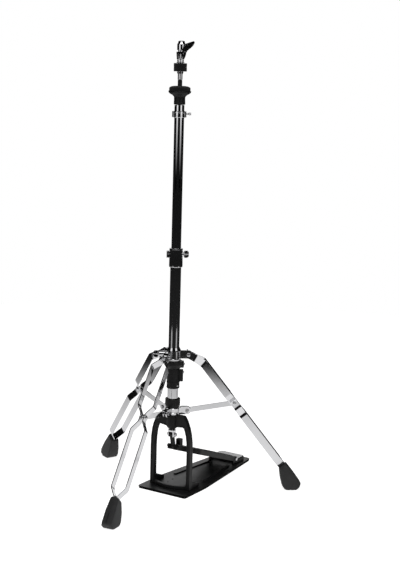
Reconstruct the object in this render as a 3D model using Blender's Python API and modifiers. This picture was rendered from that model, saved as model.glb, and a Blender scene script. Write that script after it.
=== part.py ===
# Hi-hat stand: double-braced tripod, pedal frame with footboard, two telescoping
# tubes, pull rod with its return spring, tilting seat and a clutch with a lever.
# Lengths are millimetres and become metres as each mesh is made.
# The origin is on the floor on the tubes' axis, +Z is up and +Y runs heel to toe.

import math

import bmesh
import bpy
from mathutils import Matrix, Vector

MM = 0.001
GAP = 0.3                       # between pieces that touch
SCREW_SIDE = 212.4              # azimuth of the clamp screws

# Tubes and rod
LOWER_TUBE_R = 14.3
LOWER_TUBE_BORE = 13.0
LOWER_TUBE_FOOT = 178.3
LOWER_TUBE_TOP = 648.0
UPPER_TUBE_R = 12.7
UPPER_TUBE_BORE = 11.3
UPPER_TUBE_FOOT = 590.0
UPPER_TUBE_TOP = 1018.0
ROD_R = 3.175
LOWER_ROD_R = 4.0
ROD_FOOT = 165.7
ROD_JOIN = 400.0
ROD_TOP = 1176.5
COLLAR_BORE = 14.6              # what slides or turns on the lower tube

# Base plate and yoke
PLATE_T = 7.0                   # steel sheet on its rubber mat
PLATE_TOE_Y = 46.0
PLATE_KINK_Y = -57.0
PLATE_HEEL_Y = -340.0
PLATE_HALF = 76.0
PLATE_HEEL_HALF = 46.5
RIB_TOE = (48.0, -95.0)
RIB_HEEL = (34.0, -238.0)
RIB_H = 1.8
YOKE_DEPTH = 11.0
YOKE_OUTER = 63.0
YOKE_INNER = 52.0
YOKE_TOP = 207.8
YOKE_BAR_UNDER = 174.6
BOSS_R = 16.2
FOOT_BAR_BULGE = 20.0
FOOT_BAR_H = 10.0
BRACE_X = 56.4                  # webs that run back from the uprights' feet

# Pedal, in the plane that the footboard swings in
HINGE = (-265.0, 23.0)          # y and z of the heel hinge
TREAD_SLOPE = 19.7
TREAD_HALF = 44.0
TREAD_T = 3.0
BOARD_T = 14.0                  # tread and skirts together
TREAD_LENGTH = 282.0            # hinge to toe along the slope
TOE_HALF = 15.0
TOE_SLOT_W = 13.2
TOE_PIN = (-7.9, 117.2)         # y and z of the strap's lower pivot
STRAP_PIN = (0.0, 152.0)        # y and z of its upper pivot
STRAP_W = 12.0

# Tripod: radius and height in a leg's own upright plane
TRIPOD_YAW = 7.16               # the tripod stands turned on the pedal frame
LEGS = (("front", 90.0), ("left", 210.0), ("right", 330.0))
HUB_PIVOT = (38.5, 370.0)
COLLAR_PIVOT = (38.5, 218.5)
LEG_BEND = (77.8, 349.3)
LEG_LINE = (264.9, -341.3)      # the way a leg runs below its bend
STRIP_W = 19.5
STRIP_T = 2.4
PINCH = 5.75                    # a strip's middle from the leg's plane
UPPER_BAY = 21.75
LOWER_BAY = 20.0
ANKLE = 3.6
STRUT_JOINT = 140.0             # along the leg below its bend
STRUT_END = (163.6, 238.7)
STRUT_W = 14.4
STRUT_T = 3.0
EAR_MID = 5.7
EAR_T = 3.4

# Seat and clutch
NECK_FOOT = 1019.0
SLEEVE_TOP = 1080.4
CLUTCH_FOOT = 1081.0
LEVER_PIVOT = (11.5, 1151.0)    # towards SCREW_SIDE, and height
LEVER_WING = ((8.9, 1150.0), (9.6, 1148.2), (12.4, 1147.4), (15.0, 1149.6), (17.0, 1153.6),
              (24.6, 1159.8), (30.6, 1165.6), (34.6, 1172.8), (34.6, 1176.0),
              (32.4, 1177.8), (24.6, 1175.4), (13.3, 1171.4), (13.2, 1158.0),
              (9.6, 1154.2))

CHROME = ((0.78, 0.78, 0.79), 0.12, 1.0)
BLACK_METAL = ((0.025, 0.025, 0.027), 0.42, 0.0)
BLACK_PLASTIC = ((0.03, 0.03, 0.032), 0.5, 0.0)
RUBBER = ((0.045, 0.045, 0.047), 0.8, 0.0)
FELT = ((0.02, 0.02, 0.021), 0.95, 0.0)
STEEL = ((0.55, 0.55, 0.56), 0.3, 1.0)
GREY_METAL = ((0.42, 0.42, 0.43), 0.45, 0.6)


def turned(degrees, axis):
    return Matrix.Rotation(math.radians(degrees), 3, axis)


UPRIGHT = turned(90, "X")                       # local x, y become X, Z
SIDE_ON = turned(90, "Z") @ turned(90, "X")     # local x, y become Y, Z


def outwards(azimuth):
    """Lays local +Z flat, pointing outwards at the azimuth."""
    return turned(azimuth, "Z") @ turned(90, "Y")


def polar(radius, azimuth, z):
    angle = math.radians(azimuth)
    return (radius * math.cos(angle), radius * math.sin(angle), z)


def clear_scene():
    for old in list(bpy.data.objects):
        bpy.data.objects.remove(old, do_unlink=True)


def new_collection(name):
    group = bpy.data.collections.new(name)
    bpy.context.scene.collection.children.link(group)
    return group


def finish(name, colour, roughness, metallic):
    mat = bpy.data.materials.new(name)
    mat.use_nodes = True
    shader = mat.node_tree.nodes["Principled BSDF"]
    shader.inputs["Base Color"].default_value = (*colour, 1.0)
    shader.inputs["Roughness"].default_value = roughness
    shader.inputs["Metallic"].default_value = metallic
    mat.diffuse_color = (*colour, 1.0)
    return mat


def register(obj, look):
    """Add an object to the stand with its own material."""
    parts.objects.link(obj)
    obj.data.materials.append(finish(obj.name, *look))
    return obj


def make_tool(obj):
    """Move an object to the cutters, where only Booleans use it."""
    parts.objects.unlink(obj)
    cutters.objects.link(obj)
    obj.hide_render = True
    obj.display_type = "WIRE"
    return obj


def place(obj, position, rotation=None, parent=None):
    obj.location = Vector(position) * MM
    if rotation is not None:
        obj.rotation_euler = rotation.to_euler()
    if parent is not None:
        obj.parent = parent
    return obj


def pivot(name, position, rotation=None):
    """An empty on a joint's axis, for the pieces that turn there."""
    empty = bpy.data.objects.new(name, None)
    parts.objects.link(empty)
    return place(empty, position, rotation)


def from_bmesh(name, bm, look):
    mesh = bpy.data.meshes.new(name)
    bm.to_mesh(mesh)
    bm.free()
    return register(bpy.data.objects.new(name, mesh), look)


def lathe(name, profile, look, steps=28, ring=False):
    """Turn (radius, height) points about Z: the outer side, top to bottom.
    A ring's points go on up its bore, and a solid's start and end on the axis."""
    mesh = bpy.data.meshes.new(name)
    points = [(r * MM, 0.0, z * MM) for r, z in profile]
    edges = [(i, i + 1) for i in range(len(points) - 1)]
    if ring:
        edges.append((len(points) - 1, 0))
    mesh.from_pydata(points, edges, [])
    obj = register(bpy.data.objects.new(name, mesh), look)
    turn = obj.modifiers.new("Turn", "SCREW")
    turn.axis = "Z"
    turn.steps = steps
    turn.render_steps = steps
    turn.use_merge_vertices = True
    turn.merge_threshold = 0.00001
    return obj


def sleeve(name, outer, bore, low, high, look, steps=28, edge=0.4):
    """A turned ring with small chamfers on its outer edges."""
    profile = [(outer - edge, high), (outer, high - edge), (outer, low + edge),
               (outer - edge, low), (bore, low), (bore, high)]
    return lathe(name, profile, look, steps, ring=True)


def rod(name, radius, length, look, steps=20):
    """A cylinder that starts at its own origin and runs along +Z."""
    bm = bmesh.new()
    bmesh.ops.create_cone(bm, cap_ends=True, segments=steps, radius1=radius * MM,
                          radius2=radius * MM, depth=length * MM,
                          matrix=Matrix.Translation((0, 0, length * MM / 2)))
    return from_bmesh(name, bm, look)


def block(name, size, look, bevel=0.0):
    bm = bmesh.new()
    bmesh.ops.create_cube(bm, size=1.0,
                          matrix=Matrix.Diagonal((*(side * MM for side in size), 1.0)))
    obj = from_bmesh(name, bm, look)
    if bevel:
        edge = obj.modifiers.new("Edge", "BEVEL")
        edge.width = bevel * MM
        edge.segments = 2
    return obj


def flat_shape(name, outline, thickness, look):
    """A closed outline made solid, half its thickness each side of local z = 0."""
    curve = bpy.data.curves.new(name + "_outline", "CURVE")
    curve.dimensions = "2D"
    curve.fill_mode = "BOTH"
    curve.extrude = thickness * MM / 2
    spline = curve.splines.new("POLY")
    spline.points.add(len(outline) - 1)
    for point, (x, y) in zip(spline.points, outline):
        point.co = (x * MM, y * MM, 0.0, 1.0)
    spline.use_cyclic_u = True
    drawing = bpy.data.objects.new(name + "_outline", curve)
    bpy.context.scene.collection.objects.link(drawing)
    bpy.context.view_layer.update()
    graph = bpy.context.evaluated_depsgraph_get()
    mesh = bpy.data.meshes.new_from_object(drawing.evaluated_get(graph))
    bpy.data.objects.remove(drawing, do_unlink=True)
    bm = bmesh.new()
    bm.from_mesh(mesh)
    bmesh.ops.remove_doubles(bm, verts=bm.verts, dist=0.000001)
    bm.to_mesh(mesh)
    bm.free()
    mesh.materials.clear()
    return register(bpy.data.objects.new(name, mesh), look)


def arc(centre, radius, start, end, count):
    """Points on a circle from one angle in degrees to another."""
    angles = [math.radians(start + (end - start) * i / count) for i in range(count + 1)]
    return [(centre[0] + radius * math.cos(a), centre[1] + radius * math.sin(a))
            for a in angles]


def combine(obj, tool, operation):
    step = obj.modifiers.new(operation.title(), "BOOLEAN")
    step.operation = operation
    step.object = make_tool(tool)
    return obj


def join(obj, tool):
    return combine(obj, tool, "UNION")


def cut(obj, tool):
    return combine(obj, tool, "DIFFERENCE")


# Base plate with its two long ribs
def make_base_plate():
    corner = 4.0
    outline = [(PLATE_HALF, PLATE_KINK_Y), (PLATE_HALF, PLATE_TOE_Y - corner),
               (PLATE_HALF - corner, PLATE_TOE_Y), (corner - PLATE_HALF, PLATE_TOE_Y),
               (-PLATE_HALF, PLATE_TOE_Y - corner), (-PLATE_HALF, PLATE_KINK_Y),
               (-PLATE_HEEL_HALF, PLATE_HEEL_Y + corner),
               (corner - PLATE_HEEL_HALF, PLATE_HEEL_Y),
               (PLATE_HEEL_HALF - corner, PLATE_HEEL_Y),
               (PLATE_HEEL_HALF, PLATE_HEEL_Y + corner)]
    plate = place(flat_shape("base_plate", outline, PLATE_T, BLACK_METAL),
                  (0, 0, PLATE_T / 2))
    root = 1.0
    for side in (-1, 1):
        toe = Vector((side * RIB_TOE[0], RIB_TOE[1], 0.0))
        heel = Vector((side * RIB_HEEL[0], RIB_HEEL[1], 0.0))
        half = (heel - toe).length / 2
        outline = arc((half, 0), 4.0, -90, 90, 6) + arc((-half, 0), 4.0, 90, 270, 6)
        rib = flat_shape(f"plate_rib_{side}", outline, RIB_H + root, BLACK_METAL)
        heading = math.degrees(math.atan2(heel.y - toe.y, heel.x - toe.x))
        middle = (toe + heel) / 2
        middle.z = PLATE_T + (RIB_H - root) / 2
        join(plate, place(rib, middle, turned(heading, "Z")))


# Cast arch that carries the tubes, with a low curved bar between its feet
def make_yoke():
    foot = PLATE_T + GAP
    outer = [(YOKE_OUTER, foot), (YOKE_OUTER, 112.0), (62.2, 138.0), (59.3, 160.0),
             (55.0, 176.5), (47.5, 194.5), (41.0, 205.0), (37.5, YOKE_TOP)]
    inner = [(12.0, YOKE_BAR_UNDER), (37.6, YOKE_BAR_UNDER + 3.2), (41.6, 175.6),
             (44.6, 168.0), (48.2, 156.0), (50.9, 136.0), (YOKE_INNER, 112.0),
             (YOKE_INNER, 26.0), (50.4, 14.0), (47.0, foot)]
    outline = (outer + [(-x, z) for x, z in reversed(outer)]
               + [(-x, z) for x, z in reversed(inner)] + inner)
    yoke = place(flat_shape("yoke_frame", outline, YOKE_DEPTH, BLACK_METAL),
                 (0, 0, 0), UPRIGHT)
    boss = lathe("yoke_boss", [(0.0, YOKE_TOP), (BOSS_R, YOKE_TOP), (BOSS_R, 176.0),
                               (14.0, 170.5), (0.0, 170.5)], BLACK_METAL, 28)
    half_span = YOKE_OUTER - 5.0
    radius = (half_span ** 2 + FOOT_BAR_BULGE ** 2) / (2 * FOOT_BAR_BULGE)
    centre = (0.0, FOOT_BAR_BULGE - radius)
    reach = math.degrees(math.asin(half_span / radius))
    bar_outline = (arc(centre, radius, 90 - reach, 90 + reach, 12)
                   + arc(centre, radius - 7.0, 90 + reach, 90 - reach, 12))
    bar = flat_shape("yoke_foot_bar", bar_outline, FOOT_BAR_H, BLACK_METAL)
    join(yoke, boss)
    join(yoke, place(bar, (0, 0, foot + FOOT_BAR_H / 2)))
    brace = [(0.0, foot), (-47.0, foot), (-47.0, 15.0), (0.0, 34.0)]
    for side in (-1, 1):
        web = flat_shape(f"yoke_brace_{side}", brace, 6.0, BLACK_METAL)
        join(yoke, place(web, (side * BRACE_X, 0, 0), SIDE_ON))
    socket = rod("yoke_socket", LOWER_TUBE_R + GAP, 40.0, BLACK_METAL, 28)
    cut(yoke, place(socket, (0, 0, LOWER_TUBE_FOOT - GAP)))
    cut(yoke, place(rod("yoke_rod_way", 5.0, 30.0, BLACK_METAL), (0, 0, 160.0)))
    lathe("rod_guide", [(10.0, 170.2), (10.0, 167.8), (8.5, 166.6), (4.6, 166.6),
                        (4.6, 170.2)], BLACK_PLASTIC, 16, ring=True)


def make_tubes():
    sleeve("lower_tube", LOWER_TUBE_R, LOWER_TUBE_BORE, LOWER_TUBE_FOOT, LOWER_TUBE_TOP,
           CHROME, 28)
    sleeve("upper_tube", UPPER_TUBE_R, UPPER_TUBE_BORE, UPPER_TUBE_FOOT, UPPER_TUBE_TOP,
           CHROME, 28)
    sleeve("upper_rod_guide", UPPER_TUBE_BORE - GAP, 3.9, 1004.0, UPPER_TUBE_TOP,
           BLACK_PLASTIC, 16)


# Screw that lies along the azimuth, with a round head and two flat wings
def wing_screw(name, start, azimuth, shank):
    profile = [(0.0, shank + 12.0), (4.0, shank + 12.0), (5.0, shank + 10.5),
               (6.0, shank + 1.0), (5.4, shank), (3.0, shank), (3.0, 0.0), (0.0, 0.0)]
    body = place(lathe(name, profile, CHROME, 20), start, outwards(azimuth))
    for side in (-1, 1):
        outline = [(1.0, 2.0), (9.0, 3.0), (10.6, 6.0), (10.2, 10.0), (8.2, 12.6),
                   (5.0, 12.0), (1.0, 10.0)]
        outline = [(side * x, shank + y) for x, y in outline][::side]
        wing = flat_shape(f"{name}_wing_{side}", outline, 3.2, CHROME)
        join(body, place(wing, start, outwards(azimuth) @ UPRIGHT))
    return body


# Clamp at the top of the lower tube
def make_height_clamp():
    low, high, screw_z = 602.0, 651.6, 636.0
    profile = [(0.0, high), (15.6, high), (17.4, high - 1.4), (17.8, high - 3.0),
               (17.8, low + 1.6), (17.0, low), (0.0, low)]
    clamp = lathe("height_clamp", profile, CHROME, 28)
    boss = rod("clamp_boss", 7.0, 4.2, CHROME, 20)
    join(clamp, place(boss, polar(15.0, SCREW_SIDE, screw_z), outwards(SCREW_SIDE)))
    lug = block("clamp_lug", (10.0, 9.0, 19.0), CHROME)
    join(clamp, place(lug, polar(18.6, SCREW_SIDE + 180, 635.0), turned(SCREW_SIDE, "Z")))
    tube_way = rod("clamp_tube_way", COLLAR_BORE, LOWER_TUBE_TOP + GAP - low + 1, CHROME, 28)
    cut(clamp, place(tube_way, (0, 0, low - 1)))
    cut(clamp, place(rod("clamp_top_way", UPPER_TUBE_R + 0.4, 60.0, CHROME, 28),
                     (0, 0, low)))
    screw_way = rod("clamp_screw_way", 3.3, 12.0, CHROME, 16)
    cut(clamp, place(screw_way, polar(12.0, SCREW_SIDE, screw_z), outwards(SCREW_SIDE)))
    wing_screw("height_wing_screw", polar(14.8, SCREW_SIDE, screw_z), SCREW_SIDE, 4.9)


# Pan-head screw with a hexagon socket, its underside at the position
def small_screw(name, position, rotation, head):
    profile = [(0.0, 2.4), (head * 0.7, 2.4), (head, 1.4), (head, 0.0), (0.0, 0.0)]
    body = place(lathe(name, profile, CHROME, 16), position, rotation)
    socket = rod(name + "_socket", head * 0.42, 2.0, CHROME, 6)
    place(socket, position, rotation)
    socket.location += rotation @ Vector((0, 0, 1.2 * MM))
    return cut(body, socket)


# Black ring under the leg hub, and the spring housing below it
def make_housings():
    ring = lathe("housing_ring", [(0.0, 352.6), (23.6, 352.6), (25.0, 351.0),
                                  (25.0, 343.0), (23.0, 339.0), (17.4, 332.0),
                                  (0.0, 332.0)], BLACK_PLASTIC, 28)
    housing = lathe("spring_housing", [(0.0, 331.6), (16.2, 331.6), (16.8, 331.0),
                                       (16.8, 296.4), (17.4, 295.4), (17.4, 281.0),
                                       (16.6, 279.4), (0.0, 279.4)], BLACK_PLASTIC, 28)
    lobes = ((ring, "ring_lobe", (14.0, 15.0, 17.0), 20.5, 343.6),
             (housing, "housing_lobe", (17.0, 17.0, 31.0), 17.5, 313.6))
    for body, name, size, radius, z in lobes:
        lobe = block(name, size, BLACK_PLASTIC, 1.6)
        join(body, place(lobe, polar(radius, SCREW_SIDE, z), turned(SCREW_SIDE, "Z")))
    cut(ring, place(rod("ring_way", COLLAR_BORE, 40, CHROME, 28), (0, 0, 322)))
    cut(housing, place(rod("housing_way", COLLAR_BORE, 80, CHROME, 28), (0, 0, 265)))
    screws = (("ring_screw", 27.8, SCREW_SIDE, 344.0, 3.6),
              ("housing_screw", 26.3, SCREW_SIDE, 322.0, 3.6),
              ("skirt_screw", 17.8, SCREW_SIDE - 50, 288.0, 2.6))
    for name, radius, azimuth, z, head in screws:
        small_screw(name, polar(radius, azimuth, z), outwards(azimuth), head)
    lathe("tension_dial", [(19.2, 251.0), (19.9, 250.2), (19.9, 234.4), (19.2, 231.0),
                           (17.6, 228.0), (16.6, 227.0), (COLLAR_BORE, 227.0),
                           (COLLAR_BORE, 240.0), (17.4, 243.0), (17.4, 251.0)],
          BLACK_PLASTIC, 28, ring=True)


# Spring, its seat in the lower tube and the collar on the rod that presses it
def make_return_spring():
    seat_top, collar_foot = 231.7, 322.6
    sleeve("spring_seat", LOWER_TUBE_BORE - 0.4, 5.0, 226.0, seat_top, STEEL, 16)
    lathe("spring_collar", [(7.0, 330.0), (7.0, 326.0), (11.6, 326.0),
                            (11.6, collar_foot), (4.3, collar_foot), (4.3, 330.0)],
          STEEL, 16, ring=True)
    turns, per_turn, wire, mean = 9, 10, 1.0, 9.0
    low, high = seat_top + GAP + wire, collar_foot - GAP - wire
    curve = bpy.data.curves.new("return_spring", "CURVE")
    curve.dimensions = "3D"
    curve.bevel_depth = wire * MM
    curve.bevel_resolution = 1
    curve.use_fill_caps = True
    spline = curve.splines.new("POLY")
    count = turns * per_turn
    spline.points.add(count)
    for i, point in enumerate(spline.points):
        x, y, _ = polar(mean, 360.0 * i / per_turn, 0.0)
        point.co = (x * MM, y * MM, (low + (high - low) * i / count) * MM, 1.0)
    register(bpy.data.objects.new("return_spring", curve), STEEL)
    print("least gap of the spring to itself", (high - low) / turns - 2 * wire, "mm")


# Pull rod in two lengths, and the fork at its foot that holds the strap
def make_pull_rod():
    place(rod("lower_pull_rod", LOWER_ROD_R, ROD_JOIN - ROD_FOOT, STEEL), (0, 0, ROD_FOOT))
    place(rod("upper_pull_rod", ROD_R, ROD_TOP - ROD_JOIN - GAP, STEEL),
          (0, 0, ROD_JOIN + GAP))
    pin_y, pin_z = STRAP_PIN
    fork_foot, fork_top = 144.8, ROD_FOOT - GAP
    fork = block("rod_connector", (18.4, 13.0, fork_top - fork_foot), CHROME, 1.2)
    place(fork, (0, pin_y, (fork_top + fork_foot) / 2))
    slot = block("connector_slot", (STRAP_W + 0.8, 20.0, 20.0), CHROME)
    cut(fork, place(slot, (0, pin_y, pin_z - 2.6)))
    way = rod("connector_pin_way", 2.8, 30.0, CHROME, 16)
    cut(fork, place(way, (-15.0, pin_y, pin_z), outwards(0)))
    profile = [(0.0, 26.9), (4.2, 26.9), (5.4, 25.8), (5.4, 22.3), (2.5, 22.3),
               (2.5, 3.3), (4.8, 3.3), (4.8, 0.0), (0.0, 0.0)]
    pin = lathe("connector_pin", profile, STEEL, 16)
    place(pin, (12.8, pin_y, pin_z), outwards(180))


# Strap from the fork down to the toe of the footboard
def make_strap():
    top, low = Vector(STRAP_PIN), Vector(TOE_PIN)
    length = (top - low).length
    lean = math.degrees(math.atan2(top.x - low.x, top.y - low.y))
    swing = pivot("strap_pivot", (0, *STRAP_PIN), turned(-lean, "X"))
    waist = 2.6
    outline = (arc((0, 0), 5.2, -55, 235, 12) + [(-waist, -8.0), (-waist, 8.0 - length)]
               + arc((0, -length), 5.0, 125, 415, 12)
               + [(waist, 8.0 - length), (waist, -8.0)])
    strap = flat_shape("drive_strap", outline, STRAP_W, BLACK_METAL)
    place(strap, (0, 0, 0), SIDE_ON, swing)
    for name, drop in (("strap_top_way", 0.0), ("strap_low_way", -length)):
        way = rod(name, 2.9, 30.0, BLACK_METAL, 16)
        cut(strap, place(way, (-15.0, 0, drop), outwards(0), swing))


def tread_height(y):
    """Height of the tread's top face above the floor at rest."""
    slope = math.radians(TREAD_SLOPE)
    return HINGE[1] + (y - HINGE[0]) * math.tan(slope) + BOARD_T / 2 / math.cos(slope)


# Footboard: a tread with skirts, ears round the heel pin and a forked toe
def make_footboard():
    hinge = pivot("footboard_pivot", (0, *HINGE), turned(TREAD_SLOPE, "X"))
    half = [(TREAD_HALF, 10.0), (TREAD_HALF, 202.0), (TREAD_HALF - 6, 222.0),
            (TOE_HALF + 6, 244.0), (TOE_HALF, 252.0), (TOE_HALF, TREAD_LENGTH - 4),
            (TOE_HALF - 4, TREAD_LENGTH)]
    board = flat_shape("footboard", half + [(-x, y) for x, y in reversed(half)], BOARD_T,
                       BLACK_METAL)
    place(board, (0, 0, 0), None, hinge)
    wall, under, toe_solid = 3.0, 2.0, 266.0
    inside = [(x - wall, min(max(y, 13.0), toe_solid)) for x, y in half[:5]]
    inside.append((TOE_HALF - wall, toe_solid))
    inside += [(-x, y) for x, y in reversed(inside)]
    hollow = flat_shape("footboard_hollow", inside, BOARD_T - TREAD_T + under, BLACK_METAL)
    cut(board, place(hollow, (0, 0, -(TREAD_T + under) / 2), None, hinge))
    for side in (-1, 1):
        outline = arc((0, 0), BOARD_T / 2, 90, 270, 8) + [(14.0, -7.0), (14.0, 7.0)]
        ear = flat_shape(f"heel_ear_{side}", outline, wall, BLACK_METAL)
        join(board, place(ear, (side * (TREAD_HALF - wall / 2), 0, 0), SIDE_ON, hinge))
    way = rod("heel_pin_way", 3.3, 120.0, BLACK_METAL)
    cut(board, place(way, (-60.0, 0, 0), outwards(0), hinge))
    slot = block("toe_slot", (TOE_SLOT_W, 40.0, 40.0), BLACK_METAL)
    cut(board, place(slot, (0, TREAD_LENGTH, 0), None, hinge))
    for side in (-1, 1):
        head = rod(f"toe_bolt_{side}", 4.6, 4.5, BLACK_METAL, 16)
        y, z = TOE_PIN[0], TOE_PIN[1]
        start = side * (TOE_HALF - 1.5)
        join(board, place(head, (start, y, z), outwards(0 if side > 0 else 180)))
    front, back, top = -30.0, -44.0, 131.0
    outline = [(front, top), (back, top), (back, tread_height(back) + GAP),
               (front, tread_height(front) + GAP)]
    toe_block = flat_shape("toe_block", outline, 13.0, BLACK_PLASTIC)
    place(toe_block, (0, 0, 0), SIDE_ON)


# Heel plate: a cover with side walls that carry the hinge pin
def make_heel_plate():
    hinge_y, hinge_z = HINGE
    foot, top, rear, front = PLATE_T + GAP, 20.5, -322.0, -277.0
    half, skirt, corner = 41.3, 3.6, 13.0

    def heel_outline(inset, open_end):
        """The cover seen from above, its rear corners rounded."""
        side, end, r = half - inset, rear + inset, corner - inset
        turn = arc((side - r, end + r), r, 0, -90, 6)
        return ([(side, open_end)] + turn + [(-x, y) for x, y in reversed(turn)]
                + [(-side, open_end)])

    cover = flat_shape("heel_plate", heel_outline(0.0, front), top - foot, GREY_METAL)
    place(cover, (0, 0, (top + foot) / 2))
    hollow = flat_shape("heel_hollow", heel_outline(skirt, front + 9), 20.0, GREY_METAL)
    cut(cover, place(hollow, (0, 0, top - 3.2 - 10.0)))
    for side in (-1, 1):
        outline = ([(-299.0, foot + 0.4), (-254.0, foot + 0.4)]
                   + arc((hinge_y, hinge_z), 7.5, 0, 115, 6)
                   + [(front + 0.6, top - 1.4), (-299.0, top - 1.4)])
        wall = flat_shape(f"heel_wall_{side}", outline, 3.0, GREY_METAL)
        join(cover, place(wall, (side * 39.2, 0, 0), SIDE_ON))
    way = rod("heel_plate_pin_way", 3.3, 120.0, GREY_METAL)
    cut(cover, place(way, (-60.0, hinge_y, hinge_z), outwards(0)))
    reach = TREAD_HALF + GAP
    profile = [(0.0, reach + 2.2), (4.0, reach + 2.2), (4.6, reach + 1.6), (4.6, reach),
               (3.0, reach), (3.0, -reach), (4.6, -reach), (4.6, -reach - 1.6),
               (4.0, -reach - 2.2), (0.0, -reach - 2.2)]
    pin = lathe("heel_hinge_pin", profile, STEEL, 20)
    place(pin, (0, hinge_y, hinge_z), outwards(0))


# Lugs for the three leg hinges stand on a sleeve that slides on the lower tube
def make_leg_hub():
    low, high = 353.0, 389.0
    hub = lathe("leg_hub", [(0.0, high), (17.4, high), (18.4, high - 1.0),
                            (18.4, low + 1.0), (17.4, low), (0.0, low)], CHROME, 28)
    r, z = HUB_PIVOT
    outline = [(10.0, z + 11.0), (10.0, z - 11.0)] + arc((r, z), 11.0, -90, 90, 8)
    for name, azimuth in LEGS:
        lug = flat_shape(f"{name}_hub_lug", outline, 2 * (PINCH - STRIP_T / 2 - GAP),
                         CHROME)
        turn = turned(azimuth + TRIPOD_YAW, "Z")
        join(hub, place(lug, (0, 0, 0), turn @ UPRIGHT))
        way = rod(f"{name}_hub_way", 3.3, 40.0, CHROME, 12)
        middle = Vector(polar(r, azimuth + TRIPOD_YAW, z))
        side = turn @ Vector((0, 1, 0))
        cut(hub, place(way, middle + side * 20.0, turn @ UPRIGHT))
    azimuth = SCREW_SIDE - 180 + 5.0
    boss = rod("hub_screw_boss", 6.5, 27.0, CHROME, 20)
    join(hub, place(boss, polar(13.0, azimuth, 371.0), outwards(azimuth)))
    cut(hub, place(rod("hub_tube_way", COLLAR_BORE, 60.0, CHROME, 28), (0, 0, 340)))
    way = rod("hub_screw_way", 3.3, 40.0, CHROME, 12)
    cut(hub, place(way, polar(10.0, azimuth, 371.0), outwards(azimuth)))
    wing_screw("hub_wing_screw", polar(15.2, azimuth, 371.0), azimuth, 25.1)


# Collar above the yoke that the struts hinge on
def make_strut_collar():
    collar = lathe("strut_collar", [(0.0, 226.2), (18.4, 226.2), (19.0, 225.6),
                                    (19.0, 208.9), (18.4, 208.3), (0.0, 208.3)],
                   CHROME, 28)
    r, z = COLLAR_PIVOT
    outline = ([(12.0, 226.2), (12.0, 208.5)] + arc((r, z), 10.0, -90, 90, 8)
               + [(22.0, z + 10.0), (21.0, 226.2)])
    for name, azimuth in LEGS:
        turn = turned(azimuth + TRIPOD_YAW, "Z")
        for side in (-1, 1):
            ear = flat_shape(f"{name}_ear_{side}", outline, EAR_T, CHROME)
            join(collar, place(ear, turn @ Vector((0, side * EAR_MID, 0)),
                               turn @ UPRIGHT))
        way = rod(f"{name}_ear_way", 3.3, 40.0, CHROME, 12)
        middle = Vector(polar(r, azimuth + TRIPOD_YAW, z))
        cut(collar, place(way, middle + turn @ Vector((0, 20.0, 0)), turn @ UPRIGHT))
    cut(collar, place(rod("collar_tube_way", COLLAR_BORE, 40.0, CHROME, 28), (0, 0, 195)))


def cross_bolt(name, half_grip, parent, head=5.2):
    """A bolt through a leg's hinge, its head and nut outside the grip."""
    grip = half_grip + GAP
    profile = [(0.0, grip + 3.2), (head * 0.8, grip + 3.2), (head, grip + 2.2),
               (head, grip), (3.0, grip), (3.0, -grip), (head, -grip),
               (head, -grip - 2.8), (0.0, -grip - 2.8)]
    return place(lathe(name, profile, STEEL, 16), (0, 0, 0), UPRIGHT, parent)


def leg_stations():
    """Middle, cross direction and side offset along a strip, from its hinge."""
    hinge, bend = Vector(HUB_PIVOT), Vector(LEG_BEND)
    upper, lower = (bend - hinge).normalized(), Vector(LEG_LINE).normalized()
    across_upper = Vector((-upper.y, upper.x))
    across_lower = Vector((-lower.y, lower.x))
    mitre = (across_upper + across_lower).normalized()
    mitre /= mitre.dot(across_lower)
    stations = [(hinge + upper * d, across_upper, PINCH) for d in (-9.0, 20.0)]
    stations.append((bend, mitre, UPPER_BAY))
    below = ((111.0, UPPER_BAY), (134.0, PINCH), (155.0, PINCH), (177.0, LOWER_BAY),
             (334.0, LOWER_BAY), (358.0, ANKLE), (404.0, ANKLE))
    stations += [(bend + lower * d, across_lower, side) for d, side in below]
    return stations


# One flat strip, bent out round the leg's two bays and pinched between them
def make_strip(name, side, hinge):
    bm = bmesh.new()
    rows = []
    for middle, across, offset in leg_stations():
        pair = [middle + across * (half * STRIP_W / 2) for half in (-1, 1)]
        rows.append([bm.verts.new(((p.x - HUB_PIVOT[0]) * MM, side * offset * MM,
                                   (p.y - HUB_PIVOT[1]) * MM)) for p in pair])
    for (a, b), (c, d) in zip(rows, rows[1:]):
        bm.faces.new((a, b, d, c))
    strip = place(from_bmesh(name, bm, CHROME), (0, 0, 0), None, hinge)
    wall = strip.modifiers.new("Wall", "SOLIDIFY")
    wall.thickness = STRIP_T * MM
    wall.offset = 0.0
    wall.use_even_offset = True
    way = rod(name + "_way", 3.3, 60.0, CHROME, 12)
    cut(strip, place(way, (0, 30.0, 0), UPRIGHT, hinge))
    head = rod(name + "_joint_head", 4.8, 3.6, CHROME, 12)
    x, z = STRUT_END[0] - HUB_PIVOT[0], STRUT_END[1] - HUB_PIVOT[1]
    turn = turned(-90 * side, "X")
    join(strip, place(head, (x, side * (PINCH + 0.6), z), turn, hinge))


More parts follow.
